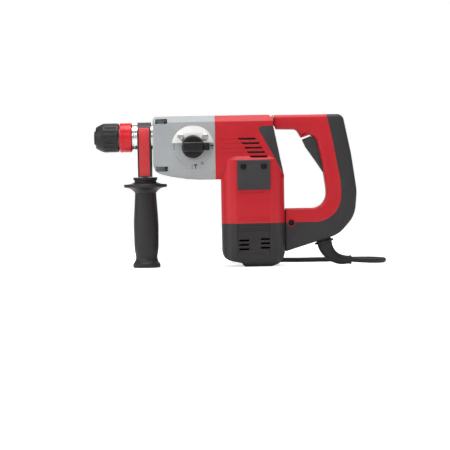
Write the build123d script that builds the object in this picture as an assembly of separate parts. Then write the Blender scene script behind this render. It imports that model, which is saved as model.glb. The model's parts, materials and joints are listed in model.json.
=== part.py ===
from build123d import *
import math
import os

os.makedirs("parts", exist_ok=True)

# Rotary hammer. Millimetres. X runs from the chuck (-X) to the rear handle (+X), Z is up.
# The origin is on the resting plane, straight below the upright motor's axis.

# ---- driving dimensions -------------------------------------------------------------------------
spindle_z = 179.7  # height of the spindle's axis
head_top = 207.0  # top of the gear housing and of the motor housing
head_half_width = 37.0
head_bottom = 119.8
joint_x = -50.2  # where the grey gear housing meets the red motor housing
gear_housing_length = 85.1
housing_wall = 4.0
motor_half_length = 43.3  # half of the motor housing's size along X
motor_step = 5.0  # how far the motor column stands out past the head, each side
motor_panel_half = 22.6  # half width of the flat side panel
column_top = 151.0  # where the motor column runs into the head
base_height = 59.5  # height of the dark base cap
base_flat_front = -12.0
base_flat_rear = 24.5
running_gap = 0.05  # radial gap of a shaft in its hole
seat_gap = 0.02  # radial gap of what is seated and does not turn
body_gap = 0.3  # gap between bodies that pass each other

neck_wall = 2.9
neck_length = 29.3
clamp_width = 18.7
ring_wall = 2.1
ring_length = 16.6
sleeve_r = 20.0
sleeve_nose_r = 15.0
sleeve_length = 31.7
sleeve_cone = 11.1
sleeve_travel = 6.0
sleeve_ring_gap = 1.2
dust_cap_r = 9.5
dust_cap_length = 7.0
dust_cap_proud = 2.5
tool_bore_r = 5.0
holder_r = 13.0
holder_nose_r = 8.6
front_bearing_wall = 2.5  # the needle bearing between spindle and neck
rear_bearing_wall = 6.0
spindle_r = 13.0
cylinder_bore_r = 10.05
beat_bore_r = 7.05
ball_r = 3.4
flute_count = 18

motor_shaft_r = 5.0
core_r = 22.0
stator_r = 38.0
stator_clearance = 1.4  # from the stator to the motor housing's bore
pinion_teeth = 9
crank_teeth = 45
idler_teeth = 27
gear_module = 1.0
bevel_pinion_teeth = 9
bevel_gear_teeth = 27
bevel_gear_r = 21.0
gear_z = 146.0  # underside of the spur gears
gear_height = 6.0
plate_z = 131.0  # underside of the plate that carries the vertical shafts
plate_height = 11.0
crank_throw = 10.0
rod_length = 52.0
rod_thickness = 8.0
crank_pin_r = 4.0
wrist_pin_r = 3.0
piston_length = 26.0

knob_x = -80.4
knob_z = 164.5
knob_r = 15.3
knob_height = 7.0
knob_bar_width = 13.0
knob_bar_height = 9.0
plate_r = 29.0
plate_thickness = 1.5
selector_shaft_r = 5.0
lock_x0 = 14.4  # the lock button's slot in the knob's nose
lock_x1 = 22.6

cover_x0 = -21.0
cover_x1 = 24.0
cover_z0 = 105.0
cover_z1 = 145.4
cover_thickness = 2.0
vent_rows = [(-18.6, 174.6), (-13.9, 168.4), (-10.2, 162.2), (-6.4, 156.1), (-2.7, 150.1)]
vent_length = 23.3
vent_height = 2.8
rear_top_x = 29.4  # the head's slanted rear face, at its top
rear_low_x = 42.4  # and where it meets the motor column
rear_low_z = 126.5
insert_depth = 2.2
base_slots = [(-19.8, -6.3, 36.2), (-19.8, -6.3, 30.4), (-19.8, -6.3, 24.3)]
base_slots += [(9.7, 21.8, 37.8), (9.7, 21.8, 32.0), (9.7, 21.8, 25.9)]

handle_half_width = 18.0
handle_wall = 3.0
handle_gap = 1.8
handle_round = 6.0
pivot_x = 52.5
pivot_z = 58.6
pivot_r = 2.6
pivot_head_r = 3.9
lug_half_width = 9.0
lug_r = 7.0
trigger_half_width = 9.0
trigger_pin_x = 101.0
trigger_pin_z = 129.0
trigger_pin_r = 2.0
trigger_travel = 8.0  # degrees

side_setback = 12.2  # from the gear housing's front to the middle of the clamp
frame_wall = 2.2
frame_foot = 124.8
insert_half = 7.2
side_insert_depth = 1.2
grip_flange_r = 29.8
clamp_bolt_r = 4.0

cord_r = 3.5
boot_root_r = 10.5
boot_end_r = 5.8
boot_x = 97.5
boot_z = 33.0
boot_angle = 75.5  # degrees below the horizontal where it leaves the handle
boot_straight = 6.0
boot_bend_r = 28.0
boot_tail = 9.0
coil_x = 3.5
coil_y = 106.0
coil_mean_r = 35.0
coil_layers = 10
coil_pitch = 7.2
coil_base = 2.0
turn_r = 40.0  # the bend that takes the cord round behind the tool
tie_thickness = 1.4
tie_width = 16.0
plug_r = 13.5
plug_length = 40.0
plug_pin_r = 2.4
plug_pin_length = 19.0
plug_pin_spacing = 19.0

# ---- stations that follow from them -------------------------------------------------------------
motor_half_width = head_half_width + motor_step
motor_bore_r = stator_r + stator_clearance
neck_bore_r = spindle_r + front_bearing_wall
neck_r = neck_bore_r + neck_wall
web_bore_r = spindle_r + rear_bearing_wall
ring_r = neck_r + ring_wall
frame_r = neck_r + frame_wall
front_x = joint_x - gear_housing_length
side_x = front_x - side_setback
neck_front = front_x - neck_length
ring_rear = neck_front - 0.2
ring_front = ring_rear - ring_length
sleeve_rear = ring_front - sleeve_ring_gap
sleeve_front = sleeve_rear - sleeve_length
nose_x = sleeve_front - dust_cap_proud
holder_rear = neck_front + 4.6
holder_step = sleeve_front + 16.2
bore_rear = holder_rear - 6.0
spring_front = sleeve_front + 21.0
crank_x = -gear_module * (pinion_teeth + crank_teeth) / 2
idler_x = crank_x - gear_module * (crank_teeth + idler_teeth) / 2
wrist_x = crank_x + crank_throw - rod_length
piston_rear = wrist_x + 7.0
piston_front = piston_rear - piston_length
spindle_rear = wrist_x + 11.0
cylinder_front = piston_front - 52.5
bevel_pinion_r = bevel_gear_r * bevel_pinion_teeth / bevel_gear_teeth
bevel_gear_x = idler_x - bevel_pinion_r
bevel_pinion_z = spindle_z - bevel_gear_r
grip_swing_r = spindle_z - frame_foot - 3 * body_gap
handle_x = motor_half_length + handle_gap
handle_top_x = rear_top_x + handle_gap
cord_height = cord_r + 0.1
coil_outer_r = coil_mean_r + coil_pitch
coil_inner_r = coil_mean_r - coil_pitch
coil_z1 = coil_base + coil_layers * coil_pitch
inner_column_r = coil_mean_r - coil_pitch / 2
outer_column_r = coil_mean_r + coil_pitch / 2
coil_turns = 2 * (coil_layers - 1) - 0.75


# ---- helpers ------------------------------------------------------------------------------------
def along_x(radius, x0, x1, y=0.0, z=spindle_z):
    bar = Cylinder(radius, x1 - x0, rotation=(0, 90, 0))
    return Pos((x0 + x1) / 2, y, z) * bar


def along_y(radius, y0, y1, x, z):
    bar = Cylinder(radius, y1 - y0, rotation=(90, 0, 0))
    return Pos(x, (y0 + y1) / 2, z) * bar


def along_z(radius, z0, z1, x=0.0, y=0.0):
    return Pos(x, y, (z0 + z1) / 2) * Cylinder(radius, z1 - z0)


def block(x0, x1, y0, y1, z0, z1):
    return Pos((x0 + x1) / 2, (y0 + y1) / 2, (z0 + z1) / 2) * Box(x1 - x0, y1 - y0, z1 - z0)


def side_face(points):
    """A flat face in the XZ plane from (x, z) points."""
    return Plane.XZ * make_face(Polyline(*points, close=True))


def rounded_face(corners):
    """A side face from (x, z, radius) corners, each rounded by a tangent arc of its radius."""
    edges = []
    starts = []
    ends = []
    count = len(corners)
    for i, (x, z, radius) in enumerate(corners):
        here = Vector(x, z)
        before = (Vector(*corners[i - 1][:2]) - here).normalized()
        after = (Vector(*corners[(i + 1) % count][:2]) - here).normalized()
        if not radius:
            starts.append(here)
            ends.append(here)
            continue
        half = math.radians(before.get_angle(after)) / 2
        cut = radius / math.tan(half)
        middle = here + (before + after).normalized() * (radius / math.sin(half) - radius)
        starts.append(here + before * cut)
        ends.append(here + after * cut)
        edges.append(ThreePointArc(starts[-1], middle, ends[-1]))
    for i in range(count):
        edges.append(Line(ends[i - 1], starts[i]))
    return Plane.XZ * make_face(Wire(edges))


def slab(face, half_width):
    """A plate of a side face, half_width thick each way from the middle plane."""
    return Pos(0, half_width, 0) * extrude(face, 2 * half_width)


def on_both_sides(shape):
    return shape + mirror(shape, Plane.XZ)


def pair_of(shape):
    """The shape and its mirror image on the other side, as two solids."""
    return Compound(children=[shape.solids()[0], mirror(shape, Plane.XZ).solids()[0]])


def ring_x(outer, inner, x0, x1, z=spindle_z):
    return along_x(outer, x0, x1, z=z) - along_x(inner, x0 - 1, x1 + 1, z=z)


def ring_z(outer, inner, z0, z1, x=0.0):
    return along_z(outer, z0, z1, x) - along_z(inner, z0 - 1, z1 + 1, x)


def spur_gear(teeth, height, bore=0.0):
    """A spur gear with stub straight-sided teeth and a little play, tooth 0 centred on +X."""
    pitch_r = teeth * gear_module / 2
    root_r = pitch_r - 1.1 * gear_module
    tip_r = pitch_r + 0.75 * gear_module
    root_half = 0.72 * gear_module
    tip_half = 0.28 * gear_module
    profile = Circle(root_r)
    if bore:
        profile -= Circle(bore)
    tooth = make_face(
        Polyline(
            (root_r - 0.4, -root_half),
            (tip_r, -tip_half),
            (tip_r, tip_half),
            (root_r - 0.4, root_half),
            close=True,
        )
    )
    profile += PolarLocations(0, teeth) * tooth
    return extrude(profile, height)


def coil_spring(length, radius, turns, wire_r):
    """A helical spring along +Z from z = 0."""
    path = Helix(pitch=length / turns, height=length, radius=radius)
    section = Plane(origin=path @ 0, z_dir=path % 0) * Circle(wire_r)
    return sweep(section, path, is_frenet=True)


# ---- outer shapes of the housings ---------------------------------------------------------------
def head_section(inset, corner_top=0.0, corner_low=0.0):
    """The head's cross-section across X: a box with broken corners."""
    half = head_half_width - inset
    top = head_top - inset
    low = head_bottom + inset
    points = [
        (half, low + 14.0 + corner_low),
        (half, top - 8.5 - corner_top),
        (half - 6.0 - corner_top, top),
        (-half + 6.0 + corner_top, top),
        (-half, top - 8.5 - corner_top),
        (-half, low + 14.0 + corner_low),
        (-half + 13.0 + corner_low * 0.5, low),
        (half - 13.0 - corner_low * 0.5, low),
    ]
    return Plane.YZ * make_face(Polyline(*points, close=True))


def motor_plan(inset):
    """Plan of the motor column: flat side panels, rounded corners, flat front and back."""
    half_x = motor_half_length - inset
    half_y = motor_half_width - inset
    panel = motor_panel_half
    shoulder = half_y - 22.0
    bulge_x = panel + (half_x - panel) * 0.7
    bulge_y = shoulder + 22.0 * 0.66
    corner = [(1, 1), (1, -1), (-1, -1), (-1, 1)]
    edges = []
    for sx, sy in corner:
        a = (sx * panel, sy * half_y)
        b = (sx * bulge_x, sy * bulge_y)
        c = (sx * half_x, sy * shoulder)
        edges.append(ThreePointArc(a, b, c))
    edges.append(Line((-panel, half_y), (panel, half_y)))
    edges.append(Line((-panel, -half_y), (panel, -half_y)))
    edges.append(Line((half_x, -shoulder), (half_x, shoulder)))
    edges.append(Line((-half_x, -shoulder), (-half_x, shoulder)))
    return make_face(Wire(edges))


def motor_side(inset):
    """Side outline of the red housing, less the notch at its top rear corner."""
    slope = (rear_low_x - rear_top_x) / (rear_low_z - 191.0)
    shift = inset * 1.02
    return side_face(
        [
            (joint_x, head_bottom),
            (joint_x, head_top),
            (rear_top_x - 6.0 - shift, head_top),
            (rear_top_x - 3.0 - shift, head_top - 2.8),
            (rear_top_x - 0.8 - shift, head_top - 0.6),
            (rear_top_x - shift, head_top - 0.6),
            (rear_top_x - shift, 191.0),
            (rear_low_x - shift, rear_low_z),
            (motor_half_length - inset, rear_low_z + 0.9 / abs(slope) * 0.2 - 2.0),
            (motor_half_length - inset, base_height),
            (-motor_half_length + inset, base_height),
            (-motor_half_length + inset, head_bottom - 3.5),
            (-motor_half_length - 1.5 + inset, head_bottom - 1.0),
        ]
    )


def motor_outer(inset=0.0):
    """The red housing as a solid, drawn in by inset on its sides."""
    reach = 120.0
    head = extrude(head_section(inset), reach, both=True)
    step = motor_half_width - head_half_width
    straight_top = column_top - step
    column = Pos(0, 0, base_height) * extrude(motor_plan(inset), straight_top - base_height)
    low = Pos(0, 0, straight_top) * motor_plan(inset)
    high = Pos(0, 0, column_top) * motor_plan(inset + step)
    column += loft([low, high])
    return (head + column) & slab(motor_side(inset), 60.0)


def gear_outer(inset=0.0):
    """The grey housing as a solid: a box with broken corners and a belly rising to the front."""
    profile = side_face(
        [
            (front_x + inset, 140.0),
            (front_x + inset, head_top - 5.0),
            (front_x + 3.0 + inset, head_top),
            (joint_x, head_top),
            (joint_x, head_bottom + inset),
            (front_x + 63.4, 119.9 + inset),
            (front_x + 46.4, 120.9 + inset),
            (front_x + 24.4, 124.4 + inset),
            (front_x + 9.4, 128.4 + inset),
            (front_x + 3.0 + inset, 132.5 + inset),
        ]
    )
    body = extrude(head_section(inset), 200.0, both=True)
    return body & slab(profile, 60.0)


def housing_screw_places():
    return [(sy * 31.3, z) for sy in (-1, 1) for z in (200.0, 135.2)]


def gear_housing():
    body = gear_outer()
    corner_edges = body.faces().sort_by(Axis.X)[0].edges()
    body = chamfer(corner_edges, 2.0)
    cavity = extrude(head_section(housing_wall, 8.0, 6.0), 200.0, both=True)
    cavity &= slab(
        side_face(
            [
                (front_x + 4.0, 150.0),
                (front_x + 4.0, head_top - 7.0),
                (front_x + 8.0, head_top - 4.0),
                (joint_x + 1, head_top - 4.0),
                (joint_x + 1, head_bottom + 4.0),
                (front_x + 46.4, 125.5),
                (front_x + 20.0, 133.0),
            ]
        ),
        60.0,
    )
    body -= cavity
    web = extrude(head_section(2.5), 200.0, both=True)
    web &= block(front_x + 36.0, front_x + 45.0, -50, 50, head_bottom + 4.5, head_top - 3.0)
    body += web & gear_outer(1.0)
    body -= along_x(web_bore_r, front_x + 30.0, front_x + 50.0)
    body -= along_x(neck_r + seat_gap, front_x - 5, front_x + 6)
    for y, z in housing_screw_places():
        side = math.copysign(1.0, y)
        pocket_outer = side * 40.0
        pocket_inner = side * 27.2
        low, high = sorted((pocket_outer, pocket_inner))
        body -= block(front_x + 4.0, front_x + 20.2, low, high, z - 3.3, z + 3.3)
        body -= along_x(2.3, front_x + 15, joint_x + 5, y, z)
    body -= along_y(selector_shaft_r + running_gap, -60, -20, knob_x, knob_z)
    # The front is turned down at its lower corners, so that the side handle's grip swings past them.
    relief = block(front_x - 1, front_x + 4.7, -60, 60, 90, 250)
    body -= relief - along_x(grip_swing_r, front_x - 2, front_x + 6)
    return body


def bearing_neck():
    tube = ring_x(neck_r, neck_bore_r, neck_front, front_x + 5.0)
    return chamfer(tube.edges().group_by(Axis.X)[0], 0.6)


def motor_cavity():
    column = along_z(motor_bore_r, base_height - 5, plate_z)
    head = extrude(head_section(housing_wall, 8.0, 6.0), 200.0, both=True)
    head &= slab(
        side_face(
            [
                (joint_x - 1, plate_z),
                (joint_x - 1, head_top - 4.0),
                (rear_top_x - 6.5, head_top - 4.0),
                (rear_top_x - 6.5, 191.0),
                (rear_low_x - 14.0, plate_z),
            ]
        ),
        60.0,
    )
    throat = block(joint_x - 1, joint_x + 12, -24, 24, head_bottom + 4.0, plate_z + 1)
    return column + head + throat


def vent_cutters():
    """Five slots with slanted left ends, one below the other, each further back."""
    cutters = []
    for x, z in vent_rows:
        face = side_face(
            [
                (x - 1.2, z + vent_height / 2),
                (x + vent_length, z + vent_height / 2),
                (x + vent_length + 0.6, z - vent_height / 2),
                (x + 1.2, z - vent_height / 2),
            ]
        )
        cutters.append(slab(face, 60.0))
    return cutters


def insert_face(margin=0.0):
    return side_face(
        [
            (10.6 - margin, 190.0 + margin),
            (12.5 - margin, 191.5 + margin),
            (29.0 + margin, 191.5 + margin),
            (43.0 + margin, 124.5 - margin),
            (25.4 - margin, 157.7),
            (9.0 - margin, 187.0),
        ]
    )


def motor_housing():
    body = motor_outer()
    recess = slab(insert_face(), 60.0) - motor_outer(insert_depth) - insert_reach(17.0)
    body -= recess
    for piece in housing_inserts().solids():
        body -= piece
    body -= motor_cavity()
    for cutter in vent_cutters():
        body -= cutter
    body -= block(-11, 11, -60, 60, cover_z0 + 3.0, cover_z0 + 17.0)
    for y, z in housing_screw_places():
        body -= along_x(2.3, joint_x - 5, joint_x + 14, y, z)
    for x, z in cover_screw_places():
        body -= along_y(1.8, -60, 60, x, z)
    lug_x0 = motor_half_length - 1.5
    lug = block(lug_x0, pivot_x, -lug_half_width, lug_half_width, pivot_z - lug_r, pivot_z + lug_r)
    lug += along_y(lug_r, -lug_half_width, lug_half_width, pivot_x, pivot_z)
    body += lug
    body -= along_y(pivot_r + seat_gap, -30, 30, pivot_x, pivot_z)
    # Below the joint line nothing of the lug reaches into the base cap.
    body -= block(-60, motor_half_length, -60, 60, base_height - 30.0, base_height)
    return body


def insert_reach(half):
    """The middle of the housing that the inserts do not reach round to."""
    return block(-60, 60, -half, half, 100, 220)


def housing_inserts():
    layer = motor_outer(0.0) - motor_outer(insert_depth - seat_gap)
    pieces = (layer & slab(insert_face(-0.15), 60.0)) - insert_reach(17.1)
    keep = sorted(pieces.solids(), key=lambda s: -s.volume)[:2]
    return Compound(children=keep)


def cover_screw_places():
    return [(cover_x0 + 8.6, cover_z1 - 8.5), (cover_x1 - 8.6, cover_z1 - 8.6)]


def base_side(inset=0.0):
    return side_face(
        [
            (-motor_half_length + inset, base_height),
            (-motor_half_length + inset, 22.6),
            (-motor_half_length + 1.0 + inset, 17.5),
            (-motor_half_length + 4.0 + inset, 12.6),
            (-motor_half_length + 9.0 + inset, 9.3 + inset),
            (-16.5, 5.2 + inset),
            (base_flat_front - 3.5, 3.2 + inset),
            (base_flat_front, inset),
            (base_flat_rear, inset),
            (motor_half_length - 9.0 - inset, 4.0 + inset),
            (motor_half_length - 3.0 - inset, 10.5 + inset),
            (motor_half_length - 0.6 - inset, 17.5),
            (motor_half_length - inset, 22.6),
            (motor_half_length - inset, base_height),
        ]
    )


def base_end(inset=0.0):
    half = motor_half_width - inset
    low = inset
    points = [
        (-half, base_height),
        (-half, 16.0),
        (-half + 3.0, 7.0),
        (-half + 9.0, 1.6 + low),
        (-half + 13.0, low),
        (half - 13.0, low),
        (half - 9.0, 1.6 + low),
        (half - 3.0, 7.0),
        (half, 16.0),
        (half, base_height),
    ]
    return Plane.YZ * make_face(Polyline(*points, close=True))


def base_outer(inset=0.0):
    body = extrude(motor_plan(inset), base_height)
    body &= slab(base_side(inset), 60.0)
    return body & extrude(base_end(inset), 80.0, both=True)


def base_cap():
    body = base_outer() - base_outer(3.0)
    for x0, x1, z in base_slots:
        body -= block(x0, x1, -60, 60, z - 1.4, z + 1.4)
    seat = along_z(14.0, 2.0, 20.0)
    body += seat & base_outer(0.5)
    body -= along_z(11.0 + seat_gap, 12.0, 30.0)
    return body


def brush_covers():
    """A flat plate on each of the motor's side panels."""
    low = -motor_half_width - cover_thickness
    plate = block(cover_x0, cover_x1, low, -motor_half_width, cover_z0, cover_z1)
    plate = fillet(plate.edges().filter_by(Axis.Y), 2.0)
    plate = chamfer(plate.faces().sort_by(Axis.Y)[0].edges(), 0.6)
    for x, z in cover_screw_places():
        plate -= along_y(1.8, low - 1, -motor_half_width + 1, x, z)
    return pair_of(plate)


def socket_head(radius, height):
    """A pan head along -Y from y = 0, with a six-sided socket."""
    head = along_y(radius, -height, 0, 0, 0)
    head = fillet(head.faces().sort_by(Axis.Y)[0].edges(), 0.6)
    socket = Plane.XZ * RegularPolygon(radius * 0.45, 6)
    return head - Pos(0, -height + 1.2, 0) * extrude(socket, 3.0)


def cover_screws():
    screws = []
    for x, z in cover_screw_places():
        head = Pos(x, -motor_half_width - cover_thickness, z) * socket_head(4.3, 1.8)
        shank = along_y(1.75, -motor_half_width - cover_thickness, -motor_half_width + 2.3, x, z)
        screw = head + shank
        screws.append(screw)
        screws.append(mirror(screw, Plane.XZ))
    return Compound(children=[s.solids()[0] for s in screws])


def housing_screws():
    screws = []
    for y, z in housing_screw_places():
        head = along_x(3.0, front_x + 16.0, front_x + 20.2, y, z)
        socket = along_x(1.4, front_x + 14.0, front_x + 18.0, y, z)
        shank = along_x(2.25, front_x + 20.0, joint_x + 12, y, z)
        screws.append((head - socket) + shank)
    return Compound(children=[s.solids()[0] for s in screws])


def selector_plate():
    """A steel plate cut from a disc, seated flat on the gear housing's left side."""
    disc_z = knob_z + 0.6
    disc = along_y(plate_r, -head_half_width - plate_thickness, -head_half_width, knob_x, disc_z)
    disc = chamfer(disc.faces().sort_by(Axis.Y)[0].edges(), 0.8)
    disc &= block(knob_x - 40, knob_x + 40, -60, 0, disc_z + 5.2, head_top - 9.0)
    disc -= along_y(knob_r + 0.8, -60, 0, knob_x, knob_z)
    for x, z in plate_screw_places():
        disc -= along_y(2.0, -60, 0, x, z)
    return disc


def plate_screw_places():
    return [(knob_x - 16.4, knob_z + 13.6), (knob_x + 16.7, knob_z + 13.4)]


def plate_screws():
    screws = []
    for x, z in plate_screw_places():
        face_y = -head_half_width - plate_thickness
        head = Pos(x, face_y, z) * socket_head(4.9, 2.2)
        screws.append(head + along_y(1.9, face_y, -head_half_width, x, z))
    return Compound(children=[s.solids()[0] for s in screws])


def selector_knob():
    face_y = -head_half_width - body_gap
    top_y = face_y - knob_height
    bar_y = top_y - knob_bar_height
    disc = along_y(knob_r, top_y, face_y, knob_x, knob_z)
    disc = fillet(disc.faces().sort_by(Axis.Y)[0].edges(), 1.5)
    half = knob_bar_width / 2
    reach = math.sqrt(knob_r**2 - half**2)
    bar = block(knob_x - reach, knob_x + reach, bar_y, top_y + 1, knob_z - half, knob_z + half)
    bar = fillet(bar.faces().sort_by(Axis.Y)[0].edges(), 2.0)
    nose = block(knob_x + reach - 1, knob_x + lock_x1, top_y - 2, face_y, knob_z - 4.6, knob_z + 4.6)
    knob = disc + bar + nose
    knob -= block(
        knob_x + lock_x0, knob_x + lock_x1 - 1.0, top_y - 10, top_y + 3.2, knob_z - 3.3, knob_z + 3.3
    )
    knob -= along_y(3.0, face_y - 5, face_y + 1, knob_x, knob_z)
    return knob


def lock_button():
    face_y = -head_half_width - body_gap - knob_height
    button = block(
        knob_x + lock_x0 + body_gap,
        knob_x + lock_x1 - 1.0 - body_gap,
        face_y - 3.4,
        face_y + 0.6,
        knob_z - 3.0,
        knob_z + 3.0,
    )
    return fillet(button.faces().sort_by(Axis.Y)[0].edges(), 0.6)


def selector_shaft():
    """The knob's shaft through the wall, with an off-centre pin that shifts the clutch."""
    start = -head_half_width - body_gap - 5.0
    shaft = along_y(3.0 - seat_gap, start, -head_half_width - body_gap, knob_x, knob_z)
    shaft += along_y(selector_shaft_r, -head_half_width - body_gap, -26.5, knob_x, knob_z)
    return shaft + along_y(1.6, -27, -23.6, knob_x + 3.0, knob_z)


# ---- chuck and spindle --------------------------------------------------------------------------
def dust_cap():
    cap = ring_x(dust_cap_r, holder_nose_r + seat_gap, nose_x, nose_x + dust_cap_length)
    lip = ring_x(dust_cap_r, tool_bore_r + 0.6, nose_x, nose_x + 1.8)
    cap = cap + lip
    front = cap.edges().filter_by(GeomType.CIRCLE).group_by(Axis.X)[0].sort_by(SortBy.RADIUS)[-1]
    return fillet(front, 1.2)


def tool_holder():
    nose = along_x(holder_nose_r, nose_x + 2.0, holder_step + 1)
    body = along_x(holder_r, holder_step, holder_rear)
    body = chamfer(body.edges().group_by(Axis.X)[0], 1.0)
    holder = nose + body + along_x(neck_bore_r - 0.4, neck_front + 0.6, holder_rear)
    holder -= along_x(tool_bore_r, nose_x, bore_rear)
    holder -= along_x(tool_bore_r + 0.3, bore_rear, holder_rear + 1)
    for place in ball_places():
        holder -= place * Sphere(ball_r + 0.1)
    return holder


def ball_places():
    reach = tool_bore_r + ball_r + 0.1
    return [Pos(holder_step + 5.5, 0, spindle_z + side * reach) for side in (-1, 1)]


def locking_balls():
    return Compound(children=[(p * Sphere(ball_r)).solids()[0] for p in ball_places()])


def locking_sleeve():
    sleeve = along_x(sleeve_r, sleeve_front + sleeve_cone, sleeve_rear)
    cone = Cone(sleeve_r, sleeve_nose_r, sleeve_cone, rotation=(0, -90, 0))
    sleeve += Pos(sleeve_front + sleeve_cone / 2, 0, spindle_z) * cone
    sleeve = chamfer(sleeve.edges().group_by(Axis.X)[-1], 1.0)
    sleeve -= along_x(holder_r + running_gap, holder_step - sleeve_travel - 0.5, sleeve_rear + 1)
    sleeve -= along_x(holder_r + 1.5, spring_front, sleeve_rear + 1)
    sleeve -= along_x(dust_cap_r + body_gap, sleeve_front - 1, holder_step)
    groove_x = (sleeve_front + sleeve_cone + sleeve_rear) / 2
    groove = Pos(groove_x, 0, spindle_z + sleeve_r + 0.5) * Box(sleeve_length - sleeve_cone - 5.0, 1.8, 2.4)
    axis = Axis((0, 0, spindle_z), (1, 0, 0))
    for i in range(flute_count):
        sleeve -= groove.rotate(axis, i * 360.0 / flute_count)
    return sleeve


def release_ring():
    ring = ring_x(ring_r, neck_r + body_gap, ring_front, ring_rear)
    ring += ring_x(ring_r, holder_r + running_gap, ring_front, ring_front + 3.0)
    ring -= along_x(holder_r + 1.5, ring_front - 1, ring_front + 1.2)
    outer = ring.edges().filter_by(GeomType.CIRCLE).group_by(Axis.X)
    front = outer[0].sort_by(SortBy.RADIUS)[-1]
    rear = outer[-1].sort_by(SortBy.RADIUS)[-1]
    return chamfer([front, rear], 0.7)


def sleeve_spring():
    x0 = spring_front + 0.3
    x1 = ring_front + 0.9
    spring = coil_spring(x1 - x0 - 1.2, holder_r + 0.8, 5, 0.5)
    return Pos(x0 + 0.6, 0, spindle_z) * Rot(0, 90, 0) * spring


def spindle():
    tube = along_x(spindle_r, holder_rear, spindle_rear)
    tube += along_x(spindle_r + 2.0, bevel_gear_x - 10.0, bevel_gear_x - 6.2)
    tube -= along_x(beat_bore_r, holder_rear - 1, cylinder_front + 1)
    tube -= along_x(cylinder_bore_r, cylinder_front, spindle_rear + 1)
    return tube


def bevel_tooth(length, height, width):
    """A straight tooth lying along +X from x = 0, standing on z = 0."""
    tip = width * 0.45
    profile = Polyline((-width, -0.8), (-tip, height), (tip, height), (width, -0.8), close=True)
    face = make_face(profile)
    return extrude(Plane(origin=(0, 0, 0), x_dir=(0, 1, 0), z_dir=(1, 0, 0)) * face, length)


def bevel_wheel(teeth, pitch_r, apex, face_width, bore):
    """A bevel wheel about Z with its pitch circle at z = 0 and its cone's apex up at z = apex."""
    slant = math.hypot(pitch_r, apex)
    cos_a = pitch_r / slant
    sin_a = apex / slant
    dedendum = 1.0
    root_r = pitch_r - dedendum * sin_a
    root_z = -dedendum * cos_a
    inner_r = root_r - face_width * cos_a
    inner_z = root_z + face_width * sin_a
    core = Cone(root_r, inner_r, inner_z - root_z)
    core = Pos(0, 0, (root_z + inner_z) / 2) * core
    core += along_z(root_r, root_z - 3.0, root_z)
    along = Plane(origin=(root_r, 0, root_z), x_dir=(-cos_a, 0, sin_a), z_dir=(sin_a, 0, cos_a))
    tooth = along * bevel_tooth(face_width, 1.7, 0.62)
    wheel = core
    for i in range(teeth):
        wheel += Rot(0, 0, i * 360.0 / teeth) * tooth
    if bore:
        wheel -= along_z(bore, root_z - 5, apex + 5)
    return wheel


def bevel_gear():
    """The wheel on the spindle: its cone's apex points back, and a tooth stands at its lowest point."""
    wheel = bevel_wheel(bevel_gear_teeth, bevel_gear_r, bevel_pinion_r, 5.5, spindle_r + seat_gap)
    return Pos(bevel_gear_x, 0, spindle_z) * Rot(0, 90, 0) * wheel


def bevel_pinion():
    wheel = bevel_wheel(bevel_pinion_teeth, bevel_pinion_r, bevel_gear_r, 5.5, 0)
    wheel = Pos(idler_x, 0, bevel_pinion_z) * wheel
    shaft = along_z(4.0, plate_z + 0.5, bevel_pinion_z - 2.0, idler_x)
    return wheel + shaft


def intermediate_gear():
    wheel = spur_gear(idler_teeth, gear_height, 4.0 + seat_gap)
    return Pos(idler_x, 0, gear_z) * wheel


def crank_gear():
    """The large wheel with the crank pin on its face and its journal below."""
    wheel = Pos(crank_x, 0, gear_z) * spur_gear(crank_teeth, gear_height)
    pin_x = crank_x + crank_throw
    pin_top = spindle_z - rod_thickness / 2 - 0.4
    wheel += along_z(crank_pin_r + 3.0, gear_z + gear_height - 0.5, pin_top - 3.0, pin_x)
    wheel += along_z(crank_pin_r, gear_z + gear_height - 0.5, pin_top, pin_x)
    return wheel + along_z(6.0, plate_z + 1.0, gear_z + 1.0, crank_x)


def connecting_rod():
    big_x = crank_x + crank_throw
    low = spindle_z - rod_thickness / 2
    high = spindle_z + rod_thickness / 2
    rod = block(wrist_x, big_x, -3.2, 3.2, low, high)
    rod += along_z(8.0, low, high, big_x) + along_z(5.6, low, high, wrist_x)
    rod -= along_z(crank_pin_r + running_gap, low - 1, high + 1, big_x)
    return rod - along_z(wrist_pin_r + running_gap, low - 1, high + 1, wrist_x)


def piston():
    body = along_x(cylinder_bore_r - running_gap, piston_front, piston_rear)
    body -= along_x(7.6, wrist_x - 8.0, piston_rear + 1)
    body -= ring_x(cylinder_bore_r + 1, cylinder_bore_r - 1.2, piston_front + 3.0, piston_front + 5.0)
    return body - along_z(wrist_pin_r + seat_gap, spindle_z - 20, spindle_z + 20, wrist_x)


def wrist_pin():
    return along_z(wrist_pin_r, spindle_z - 8.6, spindle_z + 8.6, wrist_x)


def striker():
    x0 = cylinder_front + 1.0
    body = along_x(cylinder_bore_r - running_gap, x0, x0 + 18.0)
    body -= ring_x(cylinder_bore_r + 1, cylinder_bore_r - 1.2, x0 + 12.0, x0 + 14.0)
    return chamfer(body.edges().group_by(Axis.X)[0], 1.5)


def beat_piece():
    x1 = cylinder_front - 0.5
    body = along_x(beat_bore_r - running_gap, holder_rear + 5.5, x1)
    return body + along_x(tool_bore_r - 0.3, holder_rear - 5.0, holder_rear + 6.0)


def spindle_bearings():
    """A needle bearing in the neck and a wider one in the housing's web."""
    front = ring_x(neck_bore_r - seat_gap, spindle_r + running_gap, holder_rear + 4.0, holder_rear + 16.0)
    rear = ring_x(web_bore_r - seat_gap, spindle_r + running_gap, front_x + 36.0, front_x + 45.0)
    rear -= ring_x(spindle_r + 4.0, spindle_r + 2.0, front_x + 35.0, front_x + 36.8)
    return Compound(children=[front.solids()[0], rear.solids()[0]])


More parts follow.
